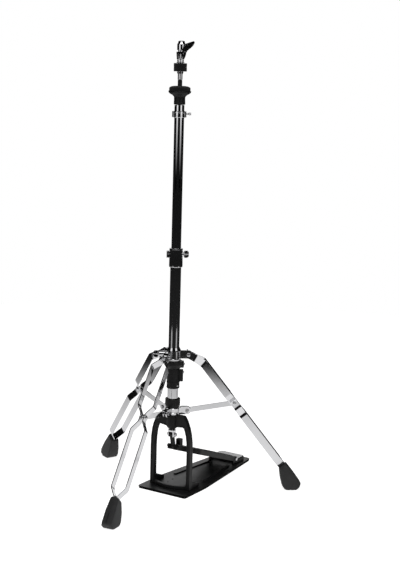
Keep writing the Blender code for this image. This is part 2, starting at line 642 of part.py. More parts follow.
# Rubber boot over the strips' ends, cut flat where it stands on the floor
def make_foot(name, hinge):
    outline = [(290.0, 57.0), (294.5, 30.0), (299.5, 11.0), (306.0, 2.6), (312.0, 0.0),
               (338.0, 0.0), (346.0, 6.0), (351.0, 17.5), (330.6, 45.8), (308.0, 75.0)]
    shape = [(r - HUB_PIVOT[0], z - HUB_PIVOT[1]) for r, z in outline]
    foot = flat_shape(name, shape, 35.0, RUBBER)
    top_z, full_z = 64.0, 22.0
    for vert in foot.data.vertices:
        height = vert.co.y / MM + HUB_PIVOT[1]
        share = min(max((top_z - height) / (top_z - full_z), 0.0), 1.0)
        vert.co.z *= 0.62 + 0.38 * share
        if vert.co.x / MM + HUB_PIVOT[0] > 340.0:
            vert.co.z *= 0.78
    place(foot, (0, 0, 0), UPRIGHT, hinge)
    edge = foot.modifiers.new("Edge", "BEVEL")
    edge.width = 3.0 * MM
    edge.segments = 2
    bend, lower = Vector(LEG_BEND), Vector(LEG_LINE).normalized()
    middle = bend + lower * 378.0
    slope = turned(math.degrees(math.atan2(-lower.y, lower.x)), "Y")
    pocket = block(name + "_pocket", (56.0, 2 * (ANKLE + STRIP_T / 2 + GAP), 20.3), RUBBER)
    place(pocket, (middle.x - HUB_PIVOT[0], 0, middle.y - HUB_PIVOT[1]), slope, hinge)
    cut(foot, pocket)


# Brace between the collar and the leg, its ends thickened round the pivots
def make_strut(name, collar_pivot):
    run = Vector(STRUT_END) - Vector(COLLAR_PIVOT)
    length, rise = run.length, math.degrees(math.atan2(run.y, run.x))
    half = STRUT_W / 2
    outline = arc((length, 0), half, -90, 90, 6) + arc((0, 0), half, 90, 270, 6)
    strut = flat_shape(name, outline, STRUT_T, CHROME)
    turn = turned(-rise, "Y") @ UPRIGHT
    place(strut, (0, 0, 0), turn, collar_pivot)
    ends = ((0.0, EAR_MID - EAR_T / 2 - GAP), (length, PINCH - STRIP_T / 2 - GAP))
    for i, (along, half_width) in enumerate(ends):
        boss = rod(f"{name}_boss_{i}", 5.8, 2 * half_width, CHROME, 16)
        spot = turned(-rise, "Y") @ Vector((along, half_width, 0))
        join(strut, place(boss, spot, turn, collar_pivot))
    way = rod(name + "_way", 3.3, 40.0, CHROME, 12)
    cut(strut, place(way, (0, 20.0, 0), UPRIGHT, collar_pivot))


def make_legs():
    for name, azimuth in LEGS:
        turn = turned(azimuth + TRIPOD_YAW, "Z")
        hinge = pivot(f"{name}_leg_pivot", polar(HUB_PIVOT[0], azimuth + TRIPOD_YAW,
                                                 HUB_PIVOT[1]), turn)
        for side, label in ((1, "ccw"), (-1, "cw")):
            make_strip(f"{name}_leg_strip_{label}", side, hinge)
        make_foot(f"{name}_rubber_foot", hinge)
        cross_bolt(f"{name}_hub_bolt", PINCH + STRIP_T / 2, hinge)
        low = pivot(f"{name}_strut_pivot", polar(COLLAR_PIVOT[0], azimuth + TRIPOD_YAW,
                                                 COLLAR_PIVOT[1]), turn)
        make_strut(f"{name}_strut", low)
        cross_bolt(f"{name}_collar_bolt", EAR_MID + EAR_T / 2, low, 4.8)


# Collar on the upper tube with its thumbscrew, and the seat that tilts above it
def make_seat():
    low, high, screw_z = 986.6, 1003.0, 996.0
    collar = lathe("seat_collar", [(0.0, high), (15.0, high), (15.6, high - 0.8),
                                   (15.6, low + 0.8), (15.0, low), (0.0, low)],
                   CHROME, 28)
    for side in (0, 180):
        ear = block(f"seat_collar_ear_{side}", (7.0, 9.0, high - low), CHROME, 0.8)
        spot = polar(14.8, SCREW_SIDE + side, (low + high) / 2)
        join(collar, place(ear, spot, turned(SCREW_SIDE, "Z")))
    cut(collar, place(rod("seat_collar_way", UPPER_TUBE_R + GAP, 30.0, CHROME, 28),
                      (0, 0, 980)))
    way = rod("seat_screw_way", 2.3, 12.0, CHROME, 16)
    cut(collar, place(way, polar(10.0, SCREW_SIDE, screw_z), outwards(SCREW_SIDE)))
    profile = [(0.0, 17.0), (2.4, 17.0), (3.8, 15.4), (3.8, 11.6), (2.6, 10.0),
               (2.6, 5.8), (2.0, 5.8), (2.0, 0.0), (0.0, 0.0)]
    screw = lathe("tilt_thumbscrew", profile, CHROME, 16)
    place(screw, polar(13.1, SCREW_SIDE, screw_z), outwards(SCREW_SIDE))
    lathe("seat_cup", [(28.2, 1053.4), (28.9, 1052.6), (28.9, 1050.6), (27.0, 1047.6),
                       (22.0, 1044.6), (16.4, 1040.6), (14.4, 1037.4), (14.3, 1030.0),
                       (14.7, 1021.0), (14.2, NECK_FOOT), (6.5, NECK_FOOT),
                       (6.5, 1051.6), (27.6, 1051.6), (27.6, 1053.4)],
          BLACK_PLASTIC, 28, ring=True)
    sleeve("seat_sleeve", 5.7, 4.95, 1051.9, SLEEVE_TOP, BLACK_PLASTIC, 24, 0.3)
    lathe("seat_felt", [(12.0, 1065.8), (20.0, 1064.8), (25.6, 1062.6), (27.2, 1060.4),
                        (27.2, 1053.0), (26.6, 1051.9), (6.1, 1051.9), (6.1, 1065.8)],
          FELT, 28, ring=True)


# Clutch: threaded tube, two felts between nuts, and a body with its lever
def make_clutch():
    bore, thread = 3.9, 6.2
    sleeve("clutch_tube", thread, bore, CLUTCH_FOOT, 1131.4, CHROME, 24)
    around = thread + GAP
    nuts = (("clutch_bottom_nut", CHROME,
             [(8.2, 1101.4), (8.2, 1099.6), (6.9, 1095.6), (around, 1095.6),
              (around, 1101.4)]),
            ("clutch_washer", CHROME,
             [(9.4, 1125.6), (10.0, 1125.0), (10.0, 1122.8), (around, 1122.8),
              (around, 1125.6)]))
    for name, look, profile in nuts:
        lathe(name, profile, look, 28, ring=True)
    sleeve("clutch_felt_lower", 16.7, around, 1101.8, 1111.9, FELT, 28, 1.0)
    sleeve("clutch_felt_upper", 16.7, around, 1112.3, 1122.4, FELT, 28, 1.0)
    nut = sleeve("clutch_lock_nut", 8.5, around, 1125.9, 1131.3, CHROME, 28, 0.3)
    for i in range(8):
        flute = rod(f"lock_nut_flute_{i}", 1.5, 8.0, CHROME, 10)
        cut(nut, place(flute, polar(9.2, 45.0 * i + SCREW_SIDE, 1124.6)))
    make_clutch_body(bore)
    make_lever()


def make_clutch_body(bore):
    base = lathe("clutch_body", [(0.0, 1151.0), (10.4, 1151.0), (10.8, 1150.4),
                                 (10.4, 1139.0), (9.8, 1135.6), (9.8, 1131.7),
                                 (0.0, 1131.7)], CHROME, 28)
    waist = rod("clutch_waist", 6.6, 8.0, CHROME, 24)
    join(base, place(waist, (0, 0, 1148.0)))
    head = lathe("clutch_head", [(0.0, 1178.4), (4.0, 1178.2), (8.0, 1176.0),
                                 (10.4, 1171.6), (10.8, 1168.6), (10.8, 1154.6),
                                 (10.2, 1153.8), (0.0, 1153.8)], CHROME, 28)
    join(base, place(head, polar(1.7, SCREW_SIDE, 0.0)))
    outline = [(4.0, 1156.6), (13.4, 1155.2), (14.6, 1150.4), (13.8, 1144.0),
               (10.6, 1134.4), (4.0, 1132.9)]
    cheek = flat_shape("clutch_cheek", outline, 13.0, CHROME)
    join(base, place(cheek, (0, 0, 0), turned(SCREW_SIDE, "Z") @ UPRIGHT))
    cut(base, place(rod("clutch_rod_way", bore, 60.0, CHROME, 24), (0, 0, 1125)))
    slot = block("lever_slot", (20.0, 5.6, 22.0), CHROME)
    cut(base, place(slot, polar(17.3, SCREW_SIDE, 1147.4), turned(SCREW_SIDE, "Z")))


# Lever: a wing that stands up and out from the slot in the clutch body
def make_lever():
    reach, z = LEVER_PIVOT
    hinge = pivot("lever_pivot", polar(reach, SCREW_SIDE, z), turned(SCREW_SIDE, "Z"))
    lever = flat_shape("clutch_lever", [(r - reach, h - z) for r, h in LEVER_WING], 3.0,
                       CHROME)
    place(lever, (0, 0, 0), UPRIGHT, hinge)
    eye = rod("lever_eye", 3.6, 5.0, CHROME, 16)
    join(lever, place(eye, (0, 2.5, 0), UPRIGHT, hinge))


clear_scene()
parts = new_collection("hi_hat_stand")
cutters = new_collection("cutters")
make_base_plate()
make_yoke()
make_tubes()
make_height_clamp()
make_housings()
make_return_spring()
make_pull_rod()
make_strap()
make_footboard()
make_heel_plate()
make_leg_hub()
make_strut_collar()
make_legs()
make_seat()
make_clutch()
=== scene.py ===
import math

import bmesh
import bpy
from mathutils import Matrix, Vector


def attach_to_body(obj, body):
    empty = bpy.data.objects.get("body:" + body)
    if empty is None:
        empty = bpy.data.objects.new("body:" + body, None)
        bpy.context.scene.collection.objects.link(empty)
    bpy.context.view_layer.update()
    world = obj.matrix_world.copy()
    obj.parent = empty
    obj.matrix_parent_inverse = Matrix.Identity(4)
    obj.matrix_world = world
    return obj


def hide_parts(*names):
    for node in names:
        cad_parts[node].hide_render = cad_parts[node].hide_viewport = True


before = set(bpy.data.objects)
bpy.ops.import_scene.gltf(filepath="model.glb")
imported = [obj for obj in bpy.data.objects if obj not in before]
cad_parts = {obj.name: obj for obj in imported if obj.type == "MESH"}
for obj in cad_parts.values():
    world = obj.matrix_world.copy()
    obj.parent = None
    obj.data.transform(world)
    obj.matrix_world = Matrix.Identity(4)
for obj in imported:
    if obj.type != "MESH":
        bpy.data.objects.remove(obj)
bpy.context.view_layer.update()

print("stage: frame loaded")

mm = 0.001  # sizes are in millimetres
screwSide = 212.4  # azimuth of the clamp screws
cameraSide = 123.5  # azimuth of the camera
onPlate = 7.3  # height at which pieces stand on the base plate
lowerBore, upperBore = 14.6, 13.1  # bores that clear the two tubes
pinHole = 3.3
heelHinge, boardSlope = (-265, 23), 19.7  # y and z of the pedal's hinge
strapTop, strapEye = (0, 152), (-7.9, 117.2)  # y and z of the strap's two pins
leverPivot = (11.5, 1151)  # radius and height
tripodYaw = 7.16
legSides = {"front": 90 + tripodYaw, "left": 210 + tripodYaw, "right": 330 + tripodYaw}


# placing and modelling helpers
def spot(radius, azimuth, height):
    angle = math.radians(azimuth)
    return Vector((radius * math.cos(angle), radius * math.sin(angle), height)) * mm


def turn(degrees, axis="Z"):
    return Matrix.Rotation(math.radians(degrees), 4, axis)


def shift(x=0.0, y=0.0, z=0.0):
    return Matrix.Translation(Vector((x, y, z)) * mm)


def standing(azimuth, radius, height):  # local +X runs outwards
    return Matrix.Translation(spot(radius, azimuth, height)) @ turn(azimuth)


def outward(azimuth, radius, height):  # local +Z runs outwards
    return standing(azimuth, radius, height) @ turn(90, "Y")


def upright(azimuth=0.0):  # local x, y become radius and height
    return turn(azimuth) @ turn(90, "X")


sideOn = upright(90)  # local x, y become Y and Z


def deselectAll():
    if bpy.context.object and bpy.context.object.mode != "OBJECT":
        bpy.ops.object.mode_set(mode="OBJECT")
    bpy.ops.object.select_all(action="DESELECT")


def takeUp(piece):  # make it the one selected, active object
    deselectAll()
    piece.select_set(True)
    bpy.context.view_layer.objects.active = piece


def settle(piece, place=None):  # move it, and put its place in its mesh
    takeUp(piece)
    if place is not None:
        piece.matrix_world = place @ piece.matrix_world
    bpy.ops.object.transform_apply(location=True, rotation=True, scale=True)
    return piece


def applied(piece, kind, **settings):
    takeUp(piece)
    step = piece.modifiers.new(kind.title(), kind)
    for key, value in settings.items():
        setattr(step, key, value)
    bpy.ops.object.modifier_apply(modifier=step.name)
    return piece


def eased(piece, width, segments=3, angle=30):  # round its sharp edges
    return applied(piece, "BEVEL", width=width * mm, segments=segments, limit_method="ANGLE",
        angle_limit=math.radians(angle))


def startEdit(piece):
    takeUp(piece)
    bpy.ops.object.mode_set(mode="EDIT")


def endEdit():
    bpy.ops.mesh.select_mode(type="VERT")
    bpy.ops.object.mode_set(mode="OBJECT")


def pick(piece, kind, test):  # in edit mode, select what passes a test
    bpy.ops.mesh.select_mode(type=kind)
    bpy.ops.mesh.select_all(action="DESELECT")
    mesh = bmesh.from_edit_mesh(piece.data)
    mesh.normal_update()
    for part in {"VERT": mesh.verts, "EDGE": mesh.edges, "FACE": mesh.faces}[kind]:
        if test(part):
            part.select_set(True)
    mesh.select_flush_mode()
    bmesh.update_edit_mesh(piece.data)


def attach(piece, other):  # join without cutting
    takeUp(piece)
    other.select_set(True)
    bpy.ops.object.join()


def closeUp(piece):
    bpy.ops.mesh.select_all(action="SELECT")
    bpy.ops.mesh.normals_make_consistent(inside=False)
    bpy.ops.object.mode_set(mode="OBJECT")
    return settle(piece)


def grow(x=0.0, y=0.0, z=0.0):
    bpy.ops.mesh.extrude_region_move(TRANSFORM_OT_translate={"value": (x * mm, y * mm, z * mm)})


def turned(name, rings, steps=48, hollow=False, place=None):
    # a circle drawn out ring by ring along Z, each ring a (radius, height)
    deselectAll()
    radius, height = rings[0]
    bpy.ops.mesh.primitive_circle_add(vertices=steps, radius=radius * mm, location=(0, 0, height * mm),
        fill_type="NOTHING" if hollow else "NGON")
    piece = bpy.context.object
    piece.name = name
    bpy.ops.object.mode_set(mode="EDIT")
    for nextRadius, nextHeight in rings[1:]:
        grow(z=nextHeight - height)
        share = nextRadius / radius
        bpy.ops.transform.resize(value=(share, share, 1), center_override=(0, 0, nextHeight * mm))
        radius, height = nextRadius, nextHeight
    if hollow:
        bpy.ops.mesh.select_all(action="DESELECT")
        bpy.ops.mesh.select_non_manifold()
        bpy.ops.mesh.bridge_edge_loops()
    return settle(closeUp(piece), place)


def started(name, place):  # one vertex, in edit mode
    deselectAll()
    bpy.ops.mesh.primitive_plane_add(size=mm, location=place)
    piece = bpy.context.object
    piece.name = name
    bpy.ops.object.mode_set(mode="EDIT")
    bpy.ops.mesh.merge(type="CENTER")
    return piece


def drawn(name, outline, thickness, place=None):
    # a flat outline given its thickness, half on each side of its plane
    x, y = outline[0]
    piece = started(name, (x * mm, y * mm, -thickness * mm / 2))
    for nextX, nextY in outline[1:]:
        grow(nextX - x, nextY - y)
        x, y = nextX, nextY
    bpy.ops.mesh.select_all(action="SELECT")
    bpy.ops.mesh.edge_face_add()
    grow(z=thickness)
    return settle(closeUp(piece), place)


def band(name, ends):
    # a thin strip drawn out bend by bend, each bend the two points across it
    low, high = ends[0]
    piece = started(name, low * mm)
    grow(*(high - low))
    bpy.ops.mesh.select_all(action="SELECT")

    def near(vert, *points):
        here = piece.matrix_world @ vert.co
        return any((here - point * mm).length < 1e-6 for point in points)

    for nextLow, nextHigh in ends[1:]:
        moved = high + nextLow - low
        grow(*(nextLow - low))
        pick(piece, "VERT", lambda vert: near(vert, moved))
        bpy.ops.transform.translate(value=(nextHigh - moved) * mm)
        pick(piece, "VERT", lambda vert: near(vert, nextLow, nextHigh))
        low, high = nextLow, nextHigh
    return piece


def peg(name, radius, length, place=None, steps=32):
    # a cylinder from its own origin along +Z
    deselectAll()
    bpy.ops.mesh.primitive_cylinder_add(vertices=steps, radius=radius * mm, depth=length * mm,
        location=(0, 0, length * mm / 2))
    piece = bpy.context.object
    piece.name = name
    settle(piece)
    return settle(piece, place)


def slab(name, size, place=None):
    deselectAll()
    bpy.ops.mesh.primitive_cube_add(size=1, scale=[side * mm for side in size])
    piece = bpy.context.object
    piece.name = name
    settle(piece)
    return settle(piece, place)


def combined(piece, others, operation):
    for other in others:
        applied(piece, "BOOLEAN", operation=operation, object=other, solver="EXACT")
        bpy.data.objects.remove(other, do_unlink=True)
    return piece


def fuse(piece, *others):
    return combined(piece, others, "UNION")


def carve(piece, *others):
    return combined(piece, others, "DIFFERENCE")


def socketHead(name, rings, radius, floor, place=None, steps=28):
    # a turned head with a hexagonal socket down to its floor
    head = carve(turned(name, rings, steps), peg("socket", radius, 3, shift(z=floor), 6))
    return settle(head, place)


def copied(piece, name, place):
    twin = piece.copy()
    twin.data = piece.data.copy()
    twin.name = name
    bpy.context.scene.collection.objects.link(twin)
    return settle(twin, place)


def rounded(corners, radius, count=4):  # a polygon with its corners rounded
    points = []
    total = len(corners)
    for i, corner in enumerate(corners):
        here = Vector(corner)
        before, after = Vector(corners[i - 1]), Vector(corners[(i + 1) % total])
        reach = min(radius, (before - here).length * 0.45, (after - here).length * 0.45)
        start = here + (before - here).normalized() * reach
        end = here + (after - here).normalized() * reach
        for step in range(count + 1):
            t = step / count
            points.append(tuple(start * (1 - t) ** 2 + here * (2 * t * (1 - t)) + end * t ** 2))
    return points


def bow(centre, radius, start, end, count=10):
    points = []
    for i in range(count + 1):
        angle = math.radians(start + (end - start) * i / count)
        points.append((centre[0] + radius * math.cos(angle), centre[1] + radius * math.sin(angle)))
    return points


def stadium(start, end, radius, count):  # a slot shape along x
    return bow((end, 0), radius, -90, 90, count) + bow((start, 0), radius, 90, 270, count)


def flipped(points):  # mirrored, and run the other way
    return [(-x, y) for x, y in reversed(points)]


def nodeName(name):  # heightClamp stands for height_clamp
    return "".join("_" + letter.lower() if letter.isupper() else letter for letter in name)


def dress(piece, material, body, bevel, node=None):
    # edges, shading, material, and what the piece rides on and stands for
    if bevel:
        applied(piece, "BEVEL", width=bevel * mm, segments=2, limit_method="ANGLE",
            angle_limit=math.radians(38), harden_normals=False, miter_outer="MITER_ARC")
    takeUp(piece)
    bpy.ops.object.shade_smooth_by_angle(angle=math.radians(40))
    applied(piece, "WEIGHTED_NORMAL", keep_sharp=True, weight=90)
    piece.data.materials.clear()
    piece.data.materials.append(material)
    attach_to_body(piece, body)
    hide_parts(node or nodeName(piece.name))


# materials
class Line:  # a value on its way through the nodes
    def __init__(self, recipe, socket):
        self.recipe, self.socket = recipe, socket

    def work(self, operation, first, second):
        return self.recipe.add("ShaderNodeMath", {"operation": operation}, {0: first, 1: second})

    def __add__(self, other):
        return self.work("ADD", self, other)

    def __mul__(self, other):
        return self.work("MULTIPLY", self, other)

    def __sub__(self, other):
        return self.work("SUBTRACT", self, other)

    def __rsub__(self, other):
        return self.work("SUBTRACT", other, self)

    __radd__ = __add__


class Graph:  # shader nodes, fed by values
    def __init__(self, tree):
        self.tree = tree

    def add(self, kind, settings, inputs, output=0):
        node = self.tree.nodes.new(kind)
        stops = settings.pop("stops", None)
        for key, value in settings.items():
            setattr(node, key, value)
        if stops:
            ramp = node.color_ramp.elements
            while len(ramp) < len(stops):
                ramp.new(0.5)
            for element, (where, grey) in zip(ramp, stops):
                element.position = where
                element.color = (grey, grey, grey, 1)
        for key, value in inputs.items():
            self.feed(node.inputs[key], value)
        return Line(self, node.outputs[output])

    def feed(self, socket, value):
        if isinstance(value, Line):
            self.tree.links.new(value.socket, socket)
        else:
            socket.default_value = value

    def ray(self, kind):  # 1 for rays of this kind
        return self.add("ShaderNodeLightPath", {}, {}, f"Is {kind} Ray")


class Recipe(Graph):  # a material and its nodes
    def __init__(self, name, **fixed):
        self.material = bpy.data.materials.new(name)
        self.material.use_nodes = True
        super().__init__(self.material.node_tree)
        self.shader = self.tree.nodes["Principled BSDF"]
        self.give(**fixed)
        self.place = self.add("ShaderNodeTexCoord", {}, {}, "Object")

    def stretched(self, x, y, z):
        return self.add("ShaderNodeMapping", {}, {"Vector": self.place, "Scale": (x, y, z)})

    def height(self):
        return self.add("ShaderNodeSeparateXYZ", {}, {0: self.place}, 2)

    def noise(self, scale, detail=3.0, rough=0.5, along=None):
        return self.add("ShaderNodeTexNoise", {}, {"Vector": along or self.place, "Scale": scale,
            "Detail": detail, "Roughness": rough}, "Fac")

    def glide(self, value, start, end, first=0.0, last=1.0):  # smoothly, as value runs
        return self.add("ShaderNodeMapRange", {"interpolation_type": "SMOOTHSTEP"},
            {"Value": value, "From Min": start, "From Max": end, "To Min": first, "To Max": last})

    def fading(self, centre, start, end):  # from 1 to 0 away from a point
        apart = self.add("ShaderNodeVectorMath", {"operation": "DISTANCE"}, {0: self.place, 1: centre}, 1)
        return self.glide(apart, start, end, 1.0, 0.0)

    def ramp(self, value, *stops):
        return self.add("ShaderNodeValToRGB", {"stops": stops}, {0: value})

    def blend(self, share, first, second):
        return self.add("ShaderNodeMix", {"data_type": "RGBA"}, {0: share, 6: (*first, 1),
            7: (*second, 1)}, 2)

    def glow(self, grey, strength=1.0):
        return self.add("ShaderNodeEmission", {}, {"Color": (grey, grey, grey, 1), "Strength": strength})

    def give(self, **links):
        for key, value in links.items():
            self.feed(self.shader.inputs[key.replace("_", " ")], value)

    def relief(self, height, strength, distance):
        self.give(Normal=self.add("ShaderNodeBump", {}, {"Height": height, "Strength": strength,
            "Distance": distance * mm}))

    def surface(self, value):
        self.feed(self.tree.nodes["Material Output"].inputs["Surface"], value)


def chromeFinish():
    made = Recipe("chromeMaterial", Metallic=1.0)
    smudge = made.ramp(made.noise(9.0, 4.0, 0.6), (0.35, 0.0), (0.75, 1.0))
    scuff = made.noise(900.0, 2.0, 0.5, made.stretched(1, 1, 0.05))
    rough = 0.03 + smudge * 0.03 + scuff * 0.02
    made.give(Base_Color=made.blend(smudge, (0.62, 0.62, 0.63), (0.55, 0.55, 0.56)), Roughness=rough)
    made.relief(made.noise(60.0, 2.0), 0.03, 0.2)
    return made.material


def coatFinish(name, base, worn, rough, grain, strength, gloss):
    # powder coat or moulded plastic: fine grain and a slight change of tone
    made = Recipe(name, Specular_IOR_Level=gloss)
    tone = made.ramp(made.noise(22.0, 5.0, 0.6), (0.3, 0.0), (0.8, 1.0))
    speck = made.ramp(made.noise(420.0, 2.0), (0.62, 0.0), (0.78, 1.0))
    rough = rough + tone * 0.1 - speck * 0.06
    made.give(Base_Color=made.blend(tone * 0.6 + speck * 0.25, base, worn), Roughness=rough)
    made.relief(made.noise(grain, 3.0, 0.6), strength, 0.25)
    return made.material


def rubberFinish():
    made = Recipe("rubberMaterial", Specular_IOR_Level=0.45)
    dust = made.ramp(made.noise(45.0, 6.0, 0.7), (0.4, 0.0), (0.75, 1.0))
    tone = made.blend(dust, (0.014, 0.014, 0.0145), (0.032, 0.032, 0.033))
    made.give(Base_Color=tone, Roughness=0.55 + dust * 0.15)
    made.relief(made.noise(700.0, 4.0, 0.7), 0.35, 0.4)
    return made.material


def feltFinish():
    made = Recipe("feltMaterial", Sheen_Weight=0.08, Sheen_Roughness=0.6, Specular_IOR_Level=0.05)
    fibre = made.noise(650.0, 6.0, 0.75, made.stretched(1, 1, 2.2))
    clump = made.noise(120.0, 3.0, 0.6)
    tone = made.blend(fibre * 0.7 + clump * 0.3, (0.003, 0.003, 0.003), (0.013, 0.013, 0.0135))
    made.give(Base_Color=tone, Roughness=0.9 + clump * 0.08)
    made.relief(fibre + clump * 0.5, 0.8, 0.9)
    return made.material


def brushedFinish():
    made = Recipe("steelMaterial", Metallic=1.0)
    lines = made.noise(1400.0, 3.0, 0.6, made.stretched(1, 1, 0.03))
    tone = made.blend(lines, (0.42, 0.42, 0.43), (0.56, 0.56, 0.57))
    made.give(Base_Color=tone, Roughness=0.22 + lines * 0.16)
    made.relief(lines, 0.12, 0.15)
    return made.material


chrome = chromeFinish()
blackCoat = coatFinish("blackCoatMaterial", (0.005, 0.005, 0.0052), (0.012, 0.012, 0.0125), 0.42, 800.0,
    0.16, 0.2)
plateCoat = coatFinish("plateCoatMaterial", (0.007, 0.007, 0.0072), (0.014, 0.014, 0.0145), 0.4, 800.0,
    0.14, 0.42)
matRubber = coatFinish("matRubberMaterial", (0.004, 0.004, 0.004), (0.009, 0.009, 0.0092), 0.8, 1100.0,
    0.3, 0.06)
blackMoulded = coatFinish("blackMouldedMaterial", (0.006, 0.006, 0.0062), (0.013, 0.013, 0.0132), 0.46,
    1300.0, 0.22, 0.25)
greyCoat = coatFinish("greyCoatMaterial", (0.6, 0.6, 0.605), (0.66, 0.66, 0.665), 0.42, 900.0, 0.12, 0.4)
rubber = rubberFinish()
felt = feltFinish()
steel = brushedFinish()
print("stage: materials made")


# base plate and yoke
def makeBasePlate():
    plate = {"half": 76, "heelHalf": 46.5, "toe": 46, "kink": -57, "heel": -340, "thick": 3.0, "mat": 4.0,
        "corner": 7}
    half = [(plate["heelHalf"], plate["heel"]), (plate["half"], plate["kink"]),
        (plate["half"], plate["toe"])]
    corners = half[1:] + flipped(half) + half[:1]
    top = plate["mat"] + plate["thick"]
    piece = drawn("basePlate", rounded(corners, plate["corner"]), plate["thick"],
        shift(z=top - plate["thick"] / 2))
    middle = (plate["toe"] + plate["heel"]) / 2
    mat = [(x * 0.985, middle + (y - middle) * 0.994) for x, y in corners]
    fuse(piece, drawn("mat", rounded(mat, plate["corner"]), plate["mat"] + 0.5,
        shift(z=plate["mat"] / 2 + 0.25)))
    rib = {"toe": (47, -92), "heel": (33, -240), "half": 4.6, "high": 3.4}
    for side in (-1, 1):
        toe, heel = (Vector((side * x, y)) for x, y in (rib["toe"], rib["heel"]))
        half = (heel - toe).length / 2
        ridge = drawn("rib", stadium(-half, half, rib["half"], 8), rib["high"] + 1)
        middle = (toe + heel) / 2
        heading = math.degrees(math.atan2(heel.y - toe.y, heel.x - toe.x))
        settle(eased(ridge, 2, 4, 60), shift(middle.x, middle.y, top + rib["high"] / 2 - 0.5)
            @ turn(heading))
        fuse(piece, ridge)
    for x, y in ((27, -26), (29, -52), (-27, -26), (-29, -52)):
        fuse(piece, socketHead("screw", [(0.9, 0.7), (1.6, 0.6), (2.2, 0.2), (2.2, -0.8)], 0.9, 0.3,
            shift(x, y, top), 20))
    for x in (-41.5, 41.5):  # rivets in the heel corners
        fuse(piece, turned("rivet", [(0.9, 0.8), (1.9, 0.3), (1.9, -0.8)], 16, place=shift(x, -331, top)))
    dress(piece, plateCoat, "frame", 0.4)
    piece.data.materials.append(matRubber)
    for face in piece.data.polygons:
        face.material_index = int(face.normal.z < 0.5 and face.center.z / mm < top)


def makeYoke():
    yoke = {"depth": 13.4, "channel": 2.4, "slant": 0.8, "sunk": 1.4}
    outer = [(63, onPlate), (63, 112), (62.2, 138), (59.3, 160), (55, 176.5), (47.5, 194.5), (41, 205),
        (37.5, 207.8)]
    inner = [(12, 174.6), (37.6, 177.8), (41.6, 175.6), (44.6, 168), (48.2, 156), (50.9, 136), (52, 112),
        (52, 26), (50.4, 16), (47, onPlate)]
    piece = drawn("yokeFrame", outer + flipped(outer) + flipped(inner) + inner, yoke["depth"])
    startEdit(piece)
    for sign in (1, -1):  # sink a channel in both broad faces
        pick(piece, "FACE", lambda face: face.normal.z * sign > 0.9 and face.calc_area() > 1e-3)
        bpy.ops.mesh.inset(thickness=yoke["channel"] * mm, depth=0)
        bpy.ops.mesh.inset(thickness=yoke["slant"] * mm, depth=-yoke["sunk"] * mm)
    endEdit()
    settle(piece, upright())
    boss = turned("boss", [(14.2, 208), (15.6, 207.8), (16.2, 207), (16.2, 178), (15.4, 175.6),
        (12.5, 171), (11.5, 170.5)])
    bar = {"bulge": 20, "half": 58, "wide": 7, "high": 10}
    radius = (bar["half"] ** 2 + bar["bulge"] ** 2) / (2 * bar["bulge"])
    reach = math.degrees(math.asin(bar["half"] / radius))
    centre = (0, bar["bulge"] - radius)
    strip = (bow(centre, radius, 90 - reach, 90 + reach, 20)
        + bow(centre, radius - bar["wide"], 90 + reach, 90 - reach, 20))
    fuse(piece, boss, drawn("lowBar", strip, bar["high"], shift(z=onPlate + bar["high"] / 2)))
    web = [(0, onPlate), (-47, onPlate), (-47, 15), (0, 34)]
    for x in (-56.4, 56.4):
        fuse(piece, drawn("web", web, 6, shift(x) @ sideOn))
    carve(piece, peg("socket", lowerBore, 40, shift(z=178), 48), peg("rodWay", 5, 30, shift(z=160), 32))
    dress(piece, blackCoat, "frame", 0.7)
    guide = turned("rodGuide", [(10, 170.2), (10, 168), (8.4, 166.6), (4.7, 166.6), (4.7, 170.2)], 40,
        True)
    dress(guide, blackMoulded, "frame", 0.2)


makeBasePlate()
makeYoke()
print("stage: plate and yoke made")


# tubes, clamp and their screws
def makeTubes():
    tubes = {"lowerTube": ("frame", 14.3, 13.0, 178.3, 648.0),
        "upperTube": ("column", 12.7, 11.3, 590.0, 1018.0)}
    for name, (body, outer, bore, low, high) in tubes.items():
        rings = [(bore, high), (outer - 0.5, high), (outer - 0.12, high - 0.15), (outer, high - 0.6),
            (outer, high - 6), (outer, low + 6), (outer, low + 0.6), (outer - 0.5, low), (bore, low)]
        dress(turned(name, rings, 64, True), chrome, body, 0)


def wingScrew(name, place, shank, body):
    wing = {"outline": [(1, 0.8), (7.4, 0.8), (9.6, 2.4), (9.9, 7), (9, 10.6), (6.6, 13.0), (3.4, 13.6),
        (0, 13.6)], "thick": 7}
    piece = turned(name, [(2, shank + 12), (2.6, shank + 10), (2.6, shank + 4), (3.4, shank + 2),
        (4.4, shank + 1.4), (4.2, shank + 0.2), (3, shank), (3, 0.6), (2.5, 0)], 32)
    for side in (-1, 1):
        shape = rounded([(side * x, shank + y) for x, y in wing["outline"]], 1.8)
        fuse(piece, eased(drawn("wing", shape, wing["thick"], turn(90, "X")), 2.6, 5, 50))
    dress(settle(piece, place), chrome, body, 0.25)


